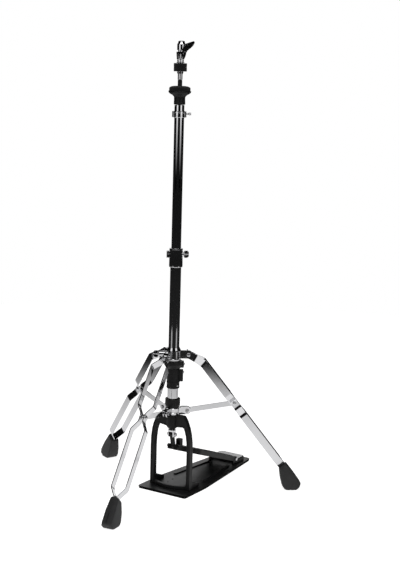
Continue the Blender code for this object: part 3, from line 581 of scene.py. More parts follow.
def makeHeightClamp():
    clamp = {"low": 602, "high": 651.6, "wall": 17.8, "screw": 636, "step": 648.3}
    low, high, wall = clamp["low"], clamp["high"], clamp["wall"]
    piece = turned("heightClamp", [(upperBore, high), (15.2, high), (16.4, high - 0.6),
        (wall, high - 1.8), (wall, high - 3), (wall - 0.4, high - 3.6), (wall - 0.3, low + 24),
        (wall - 0.1, low + 12), (wall, low + 6), (wall - 0.1, low + 1.6), (wall - 0.8, low + 0.4),
        (15.4, low), (lowerBore, low), (lowerBore, clamp["step"]), (upperBore, clamp["step"])], 64, True)
    boss = turned("boss", [(5.4, 19.2), (6.6, 18.4), (7, 17.4), (7, 15.4)], 32, place=outward(screwSide,
        0, clamp["screw"]))
    fuse(piece, boss, eased(slab("lug", (10, 9, 19), standing(screwSide, -19.4, 635)), 1.6))
    carve(piece, slab("gap", (14, 1.4, 30), standing(screwSide, -21, 641)), peg("screwWay", pinHole, 10,
        outward(screwSide, 13.5, clamp["screw"]), 24), peg("tubeWay", upperBore, 60, shift(z=low), 64))
    for side in (-1, 1):  # bolt ends through the split lug
        fuse(piece, turned("boltEnd", [(1, 1.1), (1.8, 0.9), (2.2, 0.3), (2.2, -1)], 20,
            place=standing(screwSide, -20.4, 637) @ shift(y=side * 4.6) @ turn(-90 * side, "X")))
    dress(piece, chrome, "frame", 0.3)
    wingScrew("heightWingScrew", outward(screwSide, 14.8, clamp["screw"]), 4.9, "height_screw")


def panScrew(name, place, head):
    piece = socketHead(name, [(head * 0.5, 2.5), (head * 0.8, 2.2), (head, 1.2), (head, 0)], head * 0.45,
        1.1, place)
    dress(piece, chrome, "frame", 0.15)


def makeHousings():
    ring = turned("housingRing", [(lowerBore, 352.6), (23.4, 352.6), (24.6, 351.8), (25, 350.6),
        (25, 344), (24.2, 341), (21.4, 337), (17.6, 332.6), (17, 332), (lowerBore, 332)], 64, True)
    fuse(ring, eased(slab("lobe", (12, 15, 17), standing(screwSide, 21.5, 343.6)), 1.8))
    dress(ring, blackMoulded, "frame", 0.35)
    housing = turned("springHousing", [(lowerBore, 331.6), (16.2, 331.6), (16.8, 331), (16.8, 298),
        (17.4, 296.8), (17.4, 294.6), (16.9, 294), (16.9, 283), (17.3, 282.2), (17.3, 280.6),
        (16.6, 279.4), (lowerBore, 279.4)], 64, True)
    for height in (302, 309, 316, 323):  # moulded stiffening beads
        fuse(housing, turned("bead", [(16.2, height + 1), (17.1, height + 0.5), (17.1, height - 0.5),
            (16.2, height - 1)], 64, True))
    fuse(housing, eased(slab("lobe", (11, 17, 31), standing(screwSide, 20.5, 313.6)), 2))
    carve(housing, peg("way", lowerBore, 80, shift(z=265), 64))
    dress(housing, blackMoulded, "frame", 0.3)
    panScrew("ringScrew", outward(screwSide, 27.8, 344), 3.6)
    panScrew("housingScrew", outward(screwSide, 26.3, 322), 3.6)
    panScrew("skirtScrew", outward(screwSide - 50, 17.8, 288), 2.6)


def makeDial():
    dial = {"flutes": 24, "cut": 1.3, "outer": 19.9, "low": 233.5, "high": 249.5}
    piece = turned("tensionDial", [(17.4, 251), (19.2, 251), (19.9, 250.2), (19.9, 234.4), (19.2, 231),
        (17.6, 228), (16.6, 227), (14.7, 227), (14.7, 240), (17.4, 243)], 96, True)
    for i in range(dial["flutes"]):
        angle = 360 / dial["flutes"] * i
        carve(piece, peg("flute", dial["cut"], dial["high"] - dial["low"],
            Matrix.Translation(spot(dial["outer"] + 0.6, angle, dial["low"])), 10))
    dress(piece, blackMoulded, "dial", 0)


makeTubes()
makeHeightClamp()
makeHousings()
makeDial()
print("stage: column made")


# pull rod, connector and strap
def makePullRod():
    rods = {"lowerPullRod": [(3.4, 400), (4, 399.4), (4, 166.3), (3.4, 165.7)],
        "upperPullRod": [(1.4, 1176.5), (2.5, 1176), (3.175, 1174.8), (3.175, 400.9), (2.7, 400.3)]}
    for name, rings in rods.items():
        dress(turned(name, rings, 32), steel, "rod", 0)
    fork = {"wide": 18.4, "deep": 13, "low": 144.8, "high": 165.4, "slot": 12.8}
    block = slab("rodConnector", (fork["wide"], fork["deep"], fork["high"] - fork["low"]),
        shift(z=(fork["high"] + fork["low"]) / 2))
    carve(eased(block, 2.2, 4), slab("slot", (fork["slot"], 20, 20), shift(z=strapTop[1] - 2.6)),
        peg("pinWay", 2.8, 30, shift(-15, *strapTop) @ turn(90, "Y"), 24))
    fuse(block, turned("collar", [(4.4, 165.4), (8.4, 165.4), (9.0, 164.6), (9.0, 161.4), (8.4, 160.6),
        (4.4, 160.6)], 40, True))
    dress(block, chrome, "rod", 0.3)
    pin = socketHead("connectorPin", [(3, 26.9), (4.4, 26.7), (5.4, 25.6), (5.4, 22.3), (2.5, 22.3),
        (2.5, 3.3), (4.8, 3.3), (4.8, 0.5), (4.2, 0)], 2.2, 24.6, shift(12.8, *strapTop) @ turn(-90, "Y"))
    dress(pin, steel, "rod", 0.2)


def makeStrap():
    top, low = Vector(strapTop), Vector(strapEye)
    length = (top - low).length
    lean = math.degrees(math.atan2(top.x - low.x, top.y - low.y))
    waist = 2.6
    outline = (bow((0, 0), 5.2, -55, 235, 16) + [(-waist, -8), (-waist, 8 - length)]
        + bow((0, -length), 5, 125, 415, 16) + [(waist, 8 - length), (waist, -8)])
    piece = drawn("driveStrap", outline, 12)
    carve(piece, peg("topWay", 2.9, 30, shift(z=-15), 24), peg("lowWay", 2.9, 30, shift(0, -length, -15),
        24))
    for drop in (10.5, 17.8, 25.0):  # three pairs of rivets down one face
        for across in (-3.6, 3.6):
            fuse(piece, turned("stud", [(0.6, waist + 0.5), (1.3, waist + 0.3), (1.6, waist - 0.4)], 12,
                place=shift(0, -drop, across) @ turn(90, "Y")))
    settle(piece, shift(0, *strapTop) @ turn(-lean, "X") @ sideOn)
    dress(piece, blackCoat, "strap", 0.5)


makePullRod()
makeStrap()
print("stage: pull rod made")


# pedal
def makeFootboard():
    board = {"thick": 14, "tread": 3.0, "wall": 3.0, "back": 13, "front": 266}
    half = [(44, 10), (44, 202), (38, 222), (21, 244), (15, 252), (15, 278), (11, 282)]
    piece = drawn("footboardPressing", rounded(half + flipped(half), 6, 3), board["thick"])
    inner = [(x - board["wall"], min(max(y, board["back"]), board["front"])) for x, y in half[:5]]
    inner.append((12, board["front"]))
    deep = board["thick"] - board["tread"] + 2
    carve(piece, drawn("hollow", inner + flipped(inner), deep, shift(z=-(board["tread"] + 2) / 2)))
    ear = bow((0, 0), 7, 90, 270, 14) + [(14, -7), (14, 7)]
    for side in (-1, 1):
        fuse(piece, drawn("ear", ear, 3, shift(side * 42.5) @ sideOn))
    carve(piece, peg("pinWay", pinHole, 120, shift(-60) @ turn(90, "Y"), 32),
        slab("toeSlot", (13.2, 40, 40), shift(0, 282, 0)))
    lift = board["thick"] / 2
    pads = {"rows": 11, "first": 24, "pitch": 15.4, "across": (-27, -9, 9, 27), "half": 5.4,
        "radius": 2.6, "high": 1.1}
    for row in range(pads["rows"]):
        for x in pads["across"]:
            shape = stadium(-pads["half"], pads["half"], pads["radius"], 6)
            attach(piece, drawn("pad", shape, pads["high"] * 2,
                shift(x, pads["first"] + row * pads["pitch"], lift)))
    for x in (-38.5, 38.5):  # raised borders along the sides
        border = [(x - 1.6, 18), (x + 1.6, 18), (x + 1.6, 192), (x - 1.6, 192)]
        attach(piece, drawn("border", rounded(border, 1.4, 3), 2, shift(z=lift)))
    settle(piece, shift(0, *heelHinge) @ turn(boardSlope, "X"))
    for side in (-1, 1):
        fuse(piece, socketHead("toeBolt", [(2, 4.5), (3.6, 4.3), (4.6, 3.4), (4.6, 0)], 2, 3.1,
            shift(side * 13.5, *strapEye) @ turn(90 * side, "Y")))
    dress(piece, blackCoat, "pedal", 0.45, "footboard")


def treadHeight(y):
    slope = math.radians(boardSlope)
    return heelHinge[1] + (y - heelHinge[0]) * math.tan(slope) + 7 / math.cos(slope)


def makeToeBlock():
    front, back, top = -30, -44, 131
    outline = [(front, top), (back, top), (back, treadHeight(back) + 0.3),
        (front, treadHeight(front) + 0.3)]
    piece = drawn("toeBlock", rounded(outline, 1.6, 3), 13, sideOn)
    for z in (113, 119, 125):
        carve(piece, slab("groove", (14, 1.2, 1.4), shift(0, front, z)))
    dress(piece, blackMoulded, "pedal", 0.4)


def heelOutline(inset, openEnd):
    side, end, radius = 41.3 - inset, -322 + inset, 13 - inset
    half = [(side, openEnd)] + bow((side - radius, end + radius), radius, 0, -90, 8)
    return half + flipped(half)


def makeHeelPlate():
    heel = {"top": 19.3, "front": -277, "skirt": 3.6, "edge": 3.2, "padHalf": 36}
    top, front = heel["top"], heel["front"]
    piece = drawn("heelPlate", heelOutline(0, front), top - onPlate, shift(z=(top + onPlate) / 2))
    startEdit(piece)  # round the cover's upper edge
    pick(piece, "EDGE", lambda edge: all(abs(v.co.z / mm - top) < 0.01 for v in edge.verts)
        and any(v.co.y / mm < front - 1 for v in edge.verts))
    bpy.ops.mesh.bevel(offset=heel["edge"] * mm, segments=5, affect="EDGES")
    endEdit()
    carve(piece, drawn("hollow", heelOutline(heel["skirt"], front + 9), 20, shift(z=top - 13.2)))
    outline = ([(-299, onPlate + 0.4), (-254, onPlate + 0.4)] + bow(heelHinge, 7.5, 0, 115, 10)
        + [(front + 0.6, top - 1.4), (-299, top - 1.4)])
    for x in (-39.2, 39.2):
        fuse(piece, drawn("wall", outline, 3, shift(x) @ sideOn))
    carve(piece, peg("pinWay", pinHole, 120, shift(-60, *heelHinge) @ turn(90, "Y"), 32))
    for y in (-307, -298, -289):
        carve(piece, slab("groove", (58, 1, 0.4), shift(0, y, top)))
    dress(piece, blackCoat, "frame", 0.3)
    piece.data.materials.append(greyCoat)  # the pale pad on the black cover
    for face in piece.data.polygons:
        raised = face.center.z / mm > top - 1.5 and abs(face.center.x / mm) < heel["padHalf"]
        face.material_index = int(raised and face.normal.z > 0.8)
    half = [(2, 46.5), (4, 46.3), (4.6, 45.7), (4.6, 44.3), (3, 44.3)]
    pin = turned("heelHingePin", half + [(r, -z) for r, z in reversed(half)], 32,
        place=shift(0, *heelHinge) @ turn(90, "Y"))
    dress(pin, steel, "frame", 0.2)


makeFootboard()
makeToeBlock()
makeHeelPlate()
print("stage: pedal made")


# tripod
hubPivot, collarPivot = (38.5, 370), (38.5, 218.5)
legBend, legLine = Vector((77.8, 349.3)), Vector((264.9, -341.3)).normalized()
strutEnd = (163.6, 238.7)


def makeHub():
    hub = {"low": 353, "high": 389, "outer": 18.4, "screw": 371, "screwSide": screwSide - 175}
    low, high, outer = hub["low"], hub["high"], hub["outer"]
    piece = turned("legHub", [(lowerBore, high), (15.8, high), (17.2, high - 4.4), (18.2, high - 7),
        (18.3, high - 9), (17.4, high - 10), (17.4, low + 7), (outer, low + 6), (outer, low + 1.2),
        (17.6, low), (lowerBore, low)], 64, True)
    r, z = hubPivot
    outline = [(15.5, z + 11), (15.5, z - 11)] + bow((r, z), 11, -90, 90, 18)
    for azimuth in legSides.values():
        lug = drawn("lug", outline, 8.5, upright(azimuth))
        carve(lug, peg("way", pinHole, 30, upright(azimuth) @ shift(r, z, -15), 24))
        fuse(piece, lug)
    side, screw = hub["screwSide"], hub["screw"]
    fuse(piece, turned("boss", [(5, 40.2), (6.2, 39.6), (6.6, 38.4), (6.6, 24), (7.4, 20), (8, 15.5)], 32,
        place=outward(side, 0, screw)))
    carve(piece, peg("screwWay", pinHole, 40, outward(side, 14, screw), 24), peg("tubeWay", lowerBore, 60,
        shift(z=340), 64))
    dress(piece, chrome, "hub", 0.35)
    wingScrew("hubWingScrew", outward(side, 15.2, screw), 25.1, "hub_screw")


def makeCollar():
    piece = turned("strutCollar", [(lowerBore, 226.2), (18, 226.2), (19, 225.2), (19, 217), (18.3, 216.2),
        (18.3, 214.6), (19, 213.8), (19, 209.2), (18.2, 208.3), (lowerBore, 208.3)], 64, True)
    r, z = collarPivot
    outline = ([(15.5, 226.2), (15.5, 208.5)] + bow((r, z), 10, -90, 90, 18)
        + [(22, z + 10), (21, 226.2)])
    for azimuth in legSides.values():
        for side in (-1, 1):
            fuse(piece, drawn("ear", outline, 3.4, turn(azimuth) @ shift(y=side * 5.7) @ turn(90, "X")))
        carve(piece, peg("way", pinHole, 40, upright(azimuth) @ shift(r, z, -20), 24))
    carve(piece, peg("tubeWay", lowerBore, 40, shift(z=195), 64))
    dress(piece, chrome, "tripod_collar", 0.35)


def crossBolt(name, grip, head, place, body):
    grip += 0.3
    piece = socketHead(name, [(head * 0.4, grip + 3.2), (head * 0.8, grip + 2.9), (head, grip + 1.9),
        (head, grip), (3, grip), (3, -grip), (head, -grip), (head, -grip - 2.2),
        (head - 0.6, -grip - 2.8)], head * 0.42, grip + 1.6, place)
    dress(piece, steel, body, 0.2)


def stripStations(strip):
    joint = Vector(hubPivot)
    upper = (legBend - joint).normalized()
    acrossUpper = Vector((-upper.y, upper.x))
    acrossLower = Vector((-legLine.y, legLine.x))
    mitre = (acrossUpper + acrossLower).normalized()
    mitre /= mitre.dot(acrossLower)
    stations = [(joint + upper * d, acrossUpper, strip["pinch"]) for d in (-9, 20)]
    stations.append((legBend, mitre, strip["upperBay"]))
    stations += [(legBend + legLine * d, acrossLower, s) for d, s in strip["below"]]
    return stations


def makeStrips():
    strip = {"wide": 19.5, "thick": 2.4, "pinch": 5.75, "upperBay": 21.75, "below": ((111, 21.75),
        (134, 5.75), (155, 5.75), (177, 20), (334, 20), (358, 3.6), (404, 3.6)), "bendRadius": 4.0}
    ends = [[Vector((m.x + a.x * k * strip["wide"] / 2, s, m.y + a.y * k * strip["wide"] / 2))
        for k in (-1, 1)] for m, a, s in stripStations(strip)]
    shape = band("legStrip", ends)
    pick(shape, "EDGE", lambda edge: len(edge.link_faces) == 2)
    bpy.ops.mesh.bevel(offset=strip["bendRadius"] * mm, segments=4, affect="EDGES")
    endEdit()
    settle(shape)
    applied(shape, "SOLIDIFY", thickness=strip["thick"] * mm, offset=0.0, use_even_offset=True)
    carve(shape, peg("hingeWay", pinHole, 60, upright() @ shift(*hubPivot, -30), 24))
    outer = strip["pinch"] + strip["thick"] / 2
    fuse(shape, socketHead("jointHead", [(1.6, 3.0), (3.6, 2.7), (4.8, 1.8), (4.8, -1)], 1.9, 1.5,
        shift(strutEnd[0], outer, strutEnd[1]) @ turn(-90, "X")))
    for name, azimuth in legSides.items():
        for label, mirror in (("Ccw", 1), ("Cw", -1)):
            twin = copied(shape, f"{name}LegStrip{label}", turn(azimuth)
                @ Matrix.Diagonal((1, mirror, 1, 1)))
            startEdit(twin)
            closeUp(twin)
            dress(twin, chrome, f"{name}_leg", 0.55)
    bpy.data.objects.remove(shape, do_unlink=True)


def makeFeet():
    foot = {"outline": [(290, 57), (294.5, 30), (299.5, 11), (306, 2.6), (312, 0), (338, 0), (346, 6),
        (351, 17.5), (330.6, 45.8), (308, 75)], "wide": 35, "narrow": 0.62, "from": 64.0, "to": 22.0,
        "edge": 5.0, "tip": 340, "tipNarrow": 0.78}
    shape = drawn("rubberFoot", foot["outline"], foot["wide"])
    startEdit(shape)
    for height in sorted({z for x, z in foot["outline"]}):  # narrower towards its top
        share = min(max((foot["from"] - height) / (foot["from"] - foot["to"]), 0), 1)
        wide = foot["narrow"] + (1 - foot["narrow"]) * share
        pick(shape, "VERT", lambda vert: abs(vert.co.y / mm - height) < 0.01)
        bpy.ops.transform.resize(value=(1, 1, wide), center_override=(0, 0, 0))
    pick(shape, "VERT", lambda vert: vert.co.x / mm > foot["tip"])  # and at its tip
    bpy.ops.transform.resize(value=(1, 1, foot["tipNarrow"]), center_override=(0, 0, 0))
    endEdit()
    settle(eased(shape, foot["edge"], 4), upright())
    middle = legBend + legLine * 378
    seam = legBend + legLine * 412 + Vector((-legLine.y, legLine.x)) * 11.8
    tilt = turn(math.degrees(math.atan2(-legLine.y, legLine.x)), "Y")
    carve(shape, slab("pocket", (56, 10.2, 20.3), shift(middle.x, 0, middle.y) @ tilt),
        slab("seam", (74, 1.3, 3.4), shift(seam.x, 0, seam.y) @ tilt),
        *[slab("tooth", (3.0, 60, 3.2), shift(303 + i * 9.5)) for i in range(5)])
    for name, azimuth in legSides.items():
        dress(copied(shape, f"{name}RubberFoot", turn(azimuth)), rubber, f"{name}_leg", 0.5)
    bpy.data.objects.remove(shape, do_unlink=True)


def makeStruts():
    strut = {"half": 7.2, "thick": 3.0, "boss": 5.8, "ends": (3.7, 4.25)}
    run = Vector(strutEnd) - Vector(collarPivot)
    length, rise = run.length, math.degrees(math.atan2(run.y, run.x))
    shape = drawn("strut", stadium(0, length, strut["half"], 14), strut["thick"])
    for along, half in zip((0, length), strut["ends"]):
        fuse(shape, peg("boss", strut["boss"], 2 * half, shift(along, 0, -half), 32))
    carve(shape, peg("way", pinHole, 40, shift(z=-20), 24))
    settle(shape, standing(0, *collarPivot) @ turn(-rise, "Y") @ turn(90, "X"))
    for name, azimuth in legSides.items():
        dress(copied(shape, f"{name}Strut", turn(azimuth)), chrome, f"{name}_strut_arm", 0.5)
    bpy.data.objects.remove(shape, do_unlink=True)


def makeBolts():
    for name, azimuth in legSides.items():
        for bolt, pivot, grip, head, body in (("HubBolt", hubPivot, 6.95, 5.2, f"{name}_leg"),
                ("CollarBolt", collarPivot, 7.4, 4.8, "tripod_collar")):
            crossBolt(name + bolt, grip, head, standing(azimuth, *pivot) @ turn(90, "X"), body)


makeHub()
makeCollar()
makeStrips()
makeFeet()
makeStruts()
makeBolts()
print("stage: tripod made")


# seat
def fuzz(piece, size, depth):  # raise soft lumps on pressed felt
    applied(piece, "SUBSURF", subdivision_type="SIMPLE", levels=1, render_levels=1)
    lumps = bpy.data.textures.new(piece.name + "Lumps", "CLOUDS")
    lumps.noise_scale = size * mm
    applied(piece, "DISPLACE", texture=lumps, strength=depth * mm, mid_level=0.6, texture_coords="GLOBAL")


def makeSeat():
    seat = {"low": 986.6, "high": 1003, "screw": 996}
    low, high = seat["low"], seat["high"]
    collar = turned("seatCollar", [(13, high), (14.8, high), (15.6, high - 1), (15.6, high - 4),
        (15.1, high - 4.6), (15.1, low + 4.6), (15.6, low + 4), (15.6, low + 1), (14.8, low), (13, low)],
        64, True)
    for radius in (15.3, -15.3):
        fuse(collar, eased(slab("ear", (6, 9, high - low), standing(screwSide, radius, (low + high) / 2)),
            1.2))
    carve(collar, peg("tubeWay", 13, 30, shift(z=980), 64), peg("screwWay", 2.3, 12,
        outward(screwSide, 10, seat["screw"]), 20))
    dress(collar, chrome, "column", 0.3)
    screw = turned("tiltThumbscrew", [(2, 17), (3, 16.6), (3.8, 15.6), (3.8, 11.6), (3, 10.6), (2.6, 9.6),
        (2.6, 6.4), (2.2, 5.8), (2, 5.6), (2, 0.4), (1.7, 0)], 32)
    for i in range(12):  # knurled grip
        carve(screw, peg("nick", 0.35, 4, Matrix.Translation(spot(3.9, 30 * i, 11.6)), 8))
    dress(settle(screw, outward(screwSide, 13.1, seat["screw"])), chrome, "tilt_screw", 0)
    cup = turned("seatCup", [(27.6, 1053.4), (28.2, 1053.4), (28.9, 1052.6), (28.9, 1050.8),
        (28.2, 1049.4), (27, 1047.8), (24.6, 1045.8), (21, 1044), (17.4, 1041.4), (15, 1038.6),
        (14.4, 1036.6), (14.3, 1030), (14.6, 1024), (14.7, 1020.4), (14.2, 1019), (6.5, 1019),
        (6.5, 1051.6), (27.6, 1051.6)], 64, True)
    dress(cup, blackMoulded, "seat", 0.2)
    tube = turned("seatSleeve", [(4.95, 1080.4), (5.3, 1080.4), (5.7, 1079.9), (5.7, 1052.2),
        (5.4, 1051.9), (4.95, 1051.9)], 40, True)
    dress(tube, blackMoulded, "seat", 0)
    pad = turned("seatFelt", [(6.2, 1065.6), (9, 1065.7), (12, 1065.7), (16, 1065.4), (20, 1064.7),
        (23.4, 1063.6), (25.8, 1062.2), (27, 1060.4), (27.1, 1058), (27.1, 1055), (27, 1053.2),
        (26.5, 1052), (20, 1051.9), (12, 1051.9), (6.2, 1051.9), (6.2, 1056), (6.2, 1061)], 96, True)
    fuzz(pad, 2.2, 0.45)
    dress(pad, felt, "seat", 0)


# clutch
def makeClutchFelts():
    for name, low in (("clutchFeltLower", 1101.8), ("clutchFeltUpper", 1112.1)):
        high = low + 10.3
        pad = turned(name, [(6.6, high), (10, high), (14.6, high), (16.2, high - 0.1), (16.6, high - 0.6),
            (16.7, high - 3.2), (16.7, low + 3.2), (16.6, low + 0.6), (16.2, low + 0.1), (14.6, low),
            (10, low), (6.6, low), (6.6, low + 5)], 72, True)
        fuzz(pad, 1.8, 0.4)
        dress(pad, felt, "clutch", 0)


def makeClutchNuts():
    thread = {"low": 1081.6, "turns": 48, "root": 6.08, "crest": 6.2}
    rings = [(3.9, 1081), (5.6, 1081)]
    for i in range(thread["turns"]):  # thread, crest by crest
        height = thread["low"] + i
        rings += [(thread["root"], height), (thread["crest"], height + 0.5)]
    rings += [(5.8, 1131.2), (3.9, 1131.4)]
    dress(turned("clutchTube", rings, 40, True), chrome, "clutch", 0)
    nut = turned("clutchBottomNut", [(6.5, 1101.4), (7.8, 1101.4), (8.2, 1100.9), (8.2, 1099.8),
        (7.9, 1098.4), (6.95, 1095.8), (6.5, 1095.6)], 48, True)
    carve(nut, *[slab("flat", (3, 12, 12), standing(60 * i, 9.2, 1097)) for i in range(6)])
    dress(nut, chrome, "bottom_nut", 0.2)
    washer = turned("clutchWasher", [(6.5, 1125.6), (9, 1125.6), (9.8, 1125.3), (10, 1124.6),
        (10, 1123.6), (9.6, 1122.9), (6.5, 1122.8)], 48, True)
    dress(washer, chrome, "clutch", 0)
    lockNut = turned("clutchLockNut", [(6.5, 1131.3), (8.2, 1131.3), (8.5, 1131), (8.5, 1126.2),
        (8.2, 1125.9), (6.5, 1125.9)], 64, True)
    for i in range(8):
        place = Matrix.Translation(spot(9.2, 45 * i + screwSide, 1124.6))
        carve(lockNut, peg("flute", 1.5, 8, place, 16))
    dress(lockNut, chrome, "clutch", 0)


def makeClutchBody():
    piece = turned("clutchBody", [(7, 1151), (9.8, 1151), (10.6, 1150.4), (10.8, 1149.4), (10.6, 1144),
        (10.2, 1139), (9.8, 1135.8), (9.8, 1132.4), (9.2, 1131.7), (7, 1131.7)], 64)
    waist = turned("waist", [(6.6, 1156), (6.6, 1148)], 48)
    head = turned("head", [(2, 1178.4), (5.5, 1178.1), (7.6, 1177.2), (8.3, 1176), (8.5, 1173.4),
        (10.7, 1169.8), (11, 1168.8), (11, 1155.4), (10.4, 1154.6), (9.6, 1154.4)], 64,
        place=Matrix.Translation(spot(1.7, screwSide, 0)))
    cheek = drawn("cheek", rounded([(4, 1156.6), (13.4, 1155.2), (14.6, 1150.4), (13.8, 1144),
        (10.6, 1134.4), (4, 1132.9)], 2), 13, upright(screwSide))
    carve(piece, *[slab("flat", (27, 8, 17.5), standing(screwSide, 3.5, 1142.4) @ shift(y=side * 12.6))
        for side in (-1, 1)])
    fuse(piece, waist, head, cheek)
    for side in (-1, 1):  # a tapering rib down each flat
        fuse(piece, turned("rib", [(0.8, 1146), (1.5, 1145.2), (2.7, 1133.2), (2, 1132.8)], 28,
            place=turn(screwSide) @ shift(y=side * 8)))
    carve(piece, peg("rodWay", 3.9, 60, shift(z=1125), 40), slab("slot", (20, 5.6, 22),
        standing(screwSide, 17.3, 1147.4)))
    for side in (-1, 1):  # the lever pin's ends
        fuse(piece, turned("pinEnd", [(1.2, 0.9), (1.9, 0.7), (2.2, 0.1), (2.2, -1)], 20,
            place=turn(screwSide) @ shift(leverPivot[0], side * 6.5, leverPivot[1])
            @ turn(-90 * side, "X")))
    dress(piece, chrome, "clutch", 0.3)


def makeLever():
    lever = {"thick": 3, "lean": 21, "sunk": 1.18}
    wing = [(8.9, 1150), (9.6, 1148.2), (12.4, 1147.4), (15, 1149.6), (17, 1153.6), (24.6, 1159.8),
        (30.6, 1165.6), (34.6, 1172.8), (34.6, 1176), (32.4, 1177.8), (24.6, 1175.4), (13.3, 1171.4),
        (13.2, 1158), (9.6, 1154.2)]
    piece = drawn("clutchLever", wing, lever["thick"])
    for side in (-1, 1):  # two leaning ridges on each face
        for x, z, length in ((24.2, 1164.8, 22), (21.2, 1168.6, 14)):
            fuse(piece, slab("ridge", (length, 3.2, 2), shift(x, z, side * lever["sunk"]) @ turn(45)
                @ turn(-lever["lean"] * side, "X")))
    cheek = [(3.6, 1152.8), (14.5, 1154), (17, 1157), (16.4, 1170.6), (13.4, 1171.4)]
    fuse(piece, drawn("bridge", [(13.4, 1157), (16.4, 1157.6), (16.4, 1170.6), (13.4, 1171.2)], 26),
        *[drawn("cheek", cheek, 1.8, shift(z=side * 12.2)) for side in (-1, 1)])
    settle(piece, upright())
    fuse(piece, peg("eye", 3.6, 5, shift(leverPivot[0], 2.5, leverPivot[1]) @ turn(90, "X"), 32))
    dress(settle(piece, turn(screwSide)), chrome, "lever", 0.4)


makeSeat()
makeClutchFelts()
makeClutchNuts()
makeClutchBody()
makeLever()
print("stage: seat and clutch made")


# small CAD pieces that stay, with better materials
kept = {"upper_rod_guide": blackMoulded, "spring_seat": steel, "spring_collar": steel,
    "return_spring": steel}
for node, material in kept.items():
    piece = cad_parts[node]
    piece.data.materials.clear()
    piece.data.materials.append(material)


# studio; its floor, its room and the fades are in metres
def makeFloor():
    floor = {"radius": 2.6, "drop": -0.4, "near": (0.35, 1.55), "lit": (1.05, 1.5), "pool": (0.25, 0.6),
        "paintedPoolSide": 52, "paintedPoolRadius": 1900}
    studio = Recipe("floorMaterial", Base_Color=(0.8, 0.8, 0.8, 1), Roughness=0.95,
        Specular_IOR_Level=0.0)
    seen, mirrored = studio.ray("Camera"), studio.ray("Glossy")
    # painted reflection: polished metal sees the paper glow pale close by and in two painted pools of
    # light under the two soft boxes
    near, lit = (studio.fading((0, 0, 0), *floor[key]) for key in ("near", "lit"))
    left, right = (studio.fading(spot(floor["paintedPoolRadius"], cameraSide + side, 0), *floor["pool"])
        for side in (-floor["paintedPoolSide"], floor["paintedPoolSide"]))
    pool = left + right
    glow = studio.glow(1, seen * 0.84 + mirrored * (near * 0.65 + pool * 0.22))
    # painted shade: further out, polished metal sees a dark glow in place of the paper
    plain = studio.add("ShaderNodeMixShader", {}, {0: mirrored * (1 - lit) * (1 - pool),
        1: Line(studio, studio.shader.outputs[0]), 2: studio.glow(0.022)})
    studio.surface(studio.add("ShaderNodeAddShader", {}, {0: plain, 1: glow}))
    deselectAll()
    bpy.ops.mesh.primitive_circle_add(vertices=96, radius=floor["radius"], fill_type="NGON",
        location=(0, 0, floor["drop"] * mm))
    paper = bpy.context.object
    paper.name = "studioFloor"
    paper.data.materials.append(studio.material)


def makeWorld():
    # white to the camera and in reflections, a quarter as bright as a light
    world = bpy.data.worlds.new("studioWorld")
    world.use_nodes = True
    bpy.context.scene.world = world
    graph = Graph(world.node_tree)
    seen = graph.ray("Camera")
    for kind in ("Glossy", "Transmission"):
        seen = seen.work("MAXIMUM", seen, graph.ray(kind))
    level = graph.add("ShaderNodeMapRange", {}, {"Value": seen, "To Min": 0.25, "To Max": 1.0})
    back = graph.tree.nodes["Background"].inputs
    graph.feed(back["Color"], (1, 1, 1, 1))
    graph.feed(back["Strength"], level)


def makeTopBox():
    top = {"distance": 900, "height": 2600, "side": 1.6, "power": 24, "aim": 700}
    lamp = bpy.data.lights.new("softBoxTop", "AREA")
    lamp.shape = "RECTANGLE"
    lamp.size = lamp.size_y = top["side"]
    lamp.energy = top["power"]
    box = bpy.data.objects.new("softBoxTop", lamp)
    bpy.context.scene.collection.objects.link(box)
    box.location = spot(top["distance"], cameraSide, top["height"])
    aim = Vector((0, 0, top["aim"] * mm)) - box.location
    box.rotation_euler = aim.to_track_quat("-Z", "Y").to_euler()


def makeBoxFace(name, azimuth):
    # a soft box, dimmer towards its lower edge
    face = {"apart": 1800, "wide": 1030, "low": 620, "high": 1850, "level": 1.25, "fade": (0.66, 0.98)}
    glow = Recipe(name + "Material")
    share = glow.glide(glow.height(), *face["fade"])
    glow.surface(glow.glow(1, share * face["level"]))
    middle = (face["low"] + face["high"]) / 2
    piece = slab(name, (20, face["wide"], face["high"] - face["low"]), standing(azimuth, face["apart"],
        middle))
    piece.data.materials.append(glow.material)
    piece.visible_camera = False
    piece.visible_shadow = False


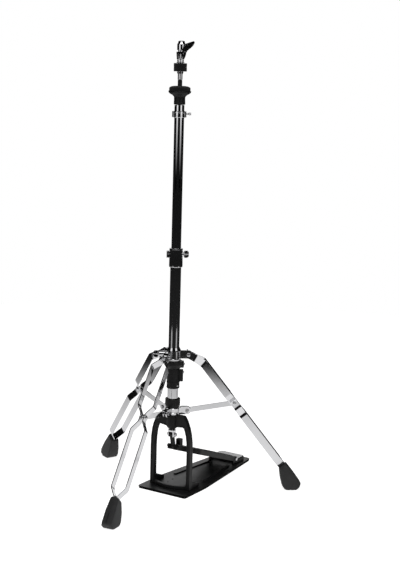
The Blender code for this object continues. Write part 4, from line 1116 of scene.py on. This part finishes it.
def makeRoom():
    # the dark room round the set, a painted reflection that only polished metal shows; it is open
    # behind the stand
    walls = {"radius": 2.05, "low": -0.02, "high": 2.75, "gap": 20}
    deselectAll()
    bpy.ops.mesh.primitive_cylinder_add(vertices=120, radius=walls["radius"],
        depth=walls["high"] - walls["low"], end_fill_type="NGON",
        location=(0, 0, (walls["high"] + walls["low"]) / 2))
    room = bpy.context.object
    room.name = "darkRoom"
    behind = spot(1, cameraSide + 180, 0)

    def isOpen(face):  # its floor, and the gap behind
        middle = face.calc_center_median()
        flat = Vector((middle.x, middle.y, 0))
        if flat.length < 1:
            return middle.z < -1
        return math.degrees(flat.angle(behind)) < walls["gap"]

    startEdit(room)
    pick(room, "FACE", isOpen)
    bpy.ops.mesh.delete(type="FACE")
    endEdit()
    settle(room)
    dark = Recipe("darkRoomMaterial", Base_Color=(0.01, 0.01, 0.01, 1), Roughness=1.0,
        Specular_IOR_Level=0.0)
    # painted reflection: a faint glow, brightest near the floor and fading out towards the top
    dark.give(Emission_Color=dark.ramp(dark.height(), (0.0, 0.017), (0.2, 0.013), (0.4, 0.008),
        (0.65, 0.005), (1.0, 0.001)), Emission_Strength=1.0)
    room.data.materials.append(dark.material)
    for way in ("camera", "diffuse", "transmission", "shadow", "volume_scatter"):
        setattr(room, "visible_" + way, False)


def makeCamera():
    view = {"at": (-1.7877, 2.6963, 1.1338), "azimuth": 212.41, "down": 10.13, "roll": 1.52,
        "lens": 79.84}
    data = bpy.data.cameras.new("photoCamera")
    data.lens = view["lens"]
    data.sensor_width = 36
    data.clip_start, data.clip_end = 0.01, 100
    camera = bpy.data.objects.new("photoCamera", data)
    bpy.context.scene.collection.objects.link(camera)
    camera.matrix_world = (Matrix.Translation(view["at"]) @ turn(view["azimuth"])
        @ turn(90 - view["down"], "X") @ turn(view["roll"]))
    bpy.context.scene.camera = camera


makeFloor()
makeWorld()
makeRoom()
makeBoxFace("softBoxLeft", cameraSide - 44)
makeBoxFace("softBoxRight", cameraSide + 44)
makeTopBox()
makeCamera()
bpy.context.scene.view_settings.view_transform = "Standard"
print("stage: studio made")
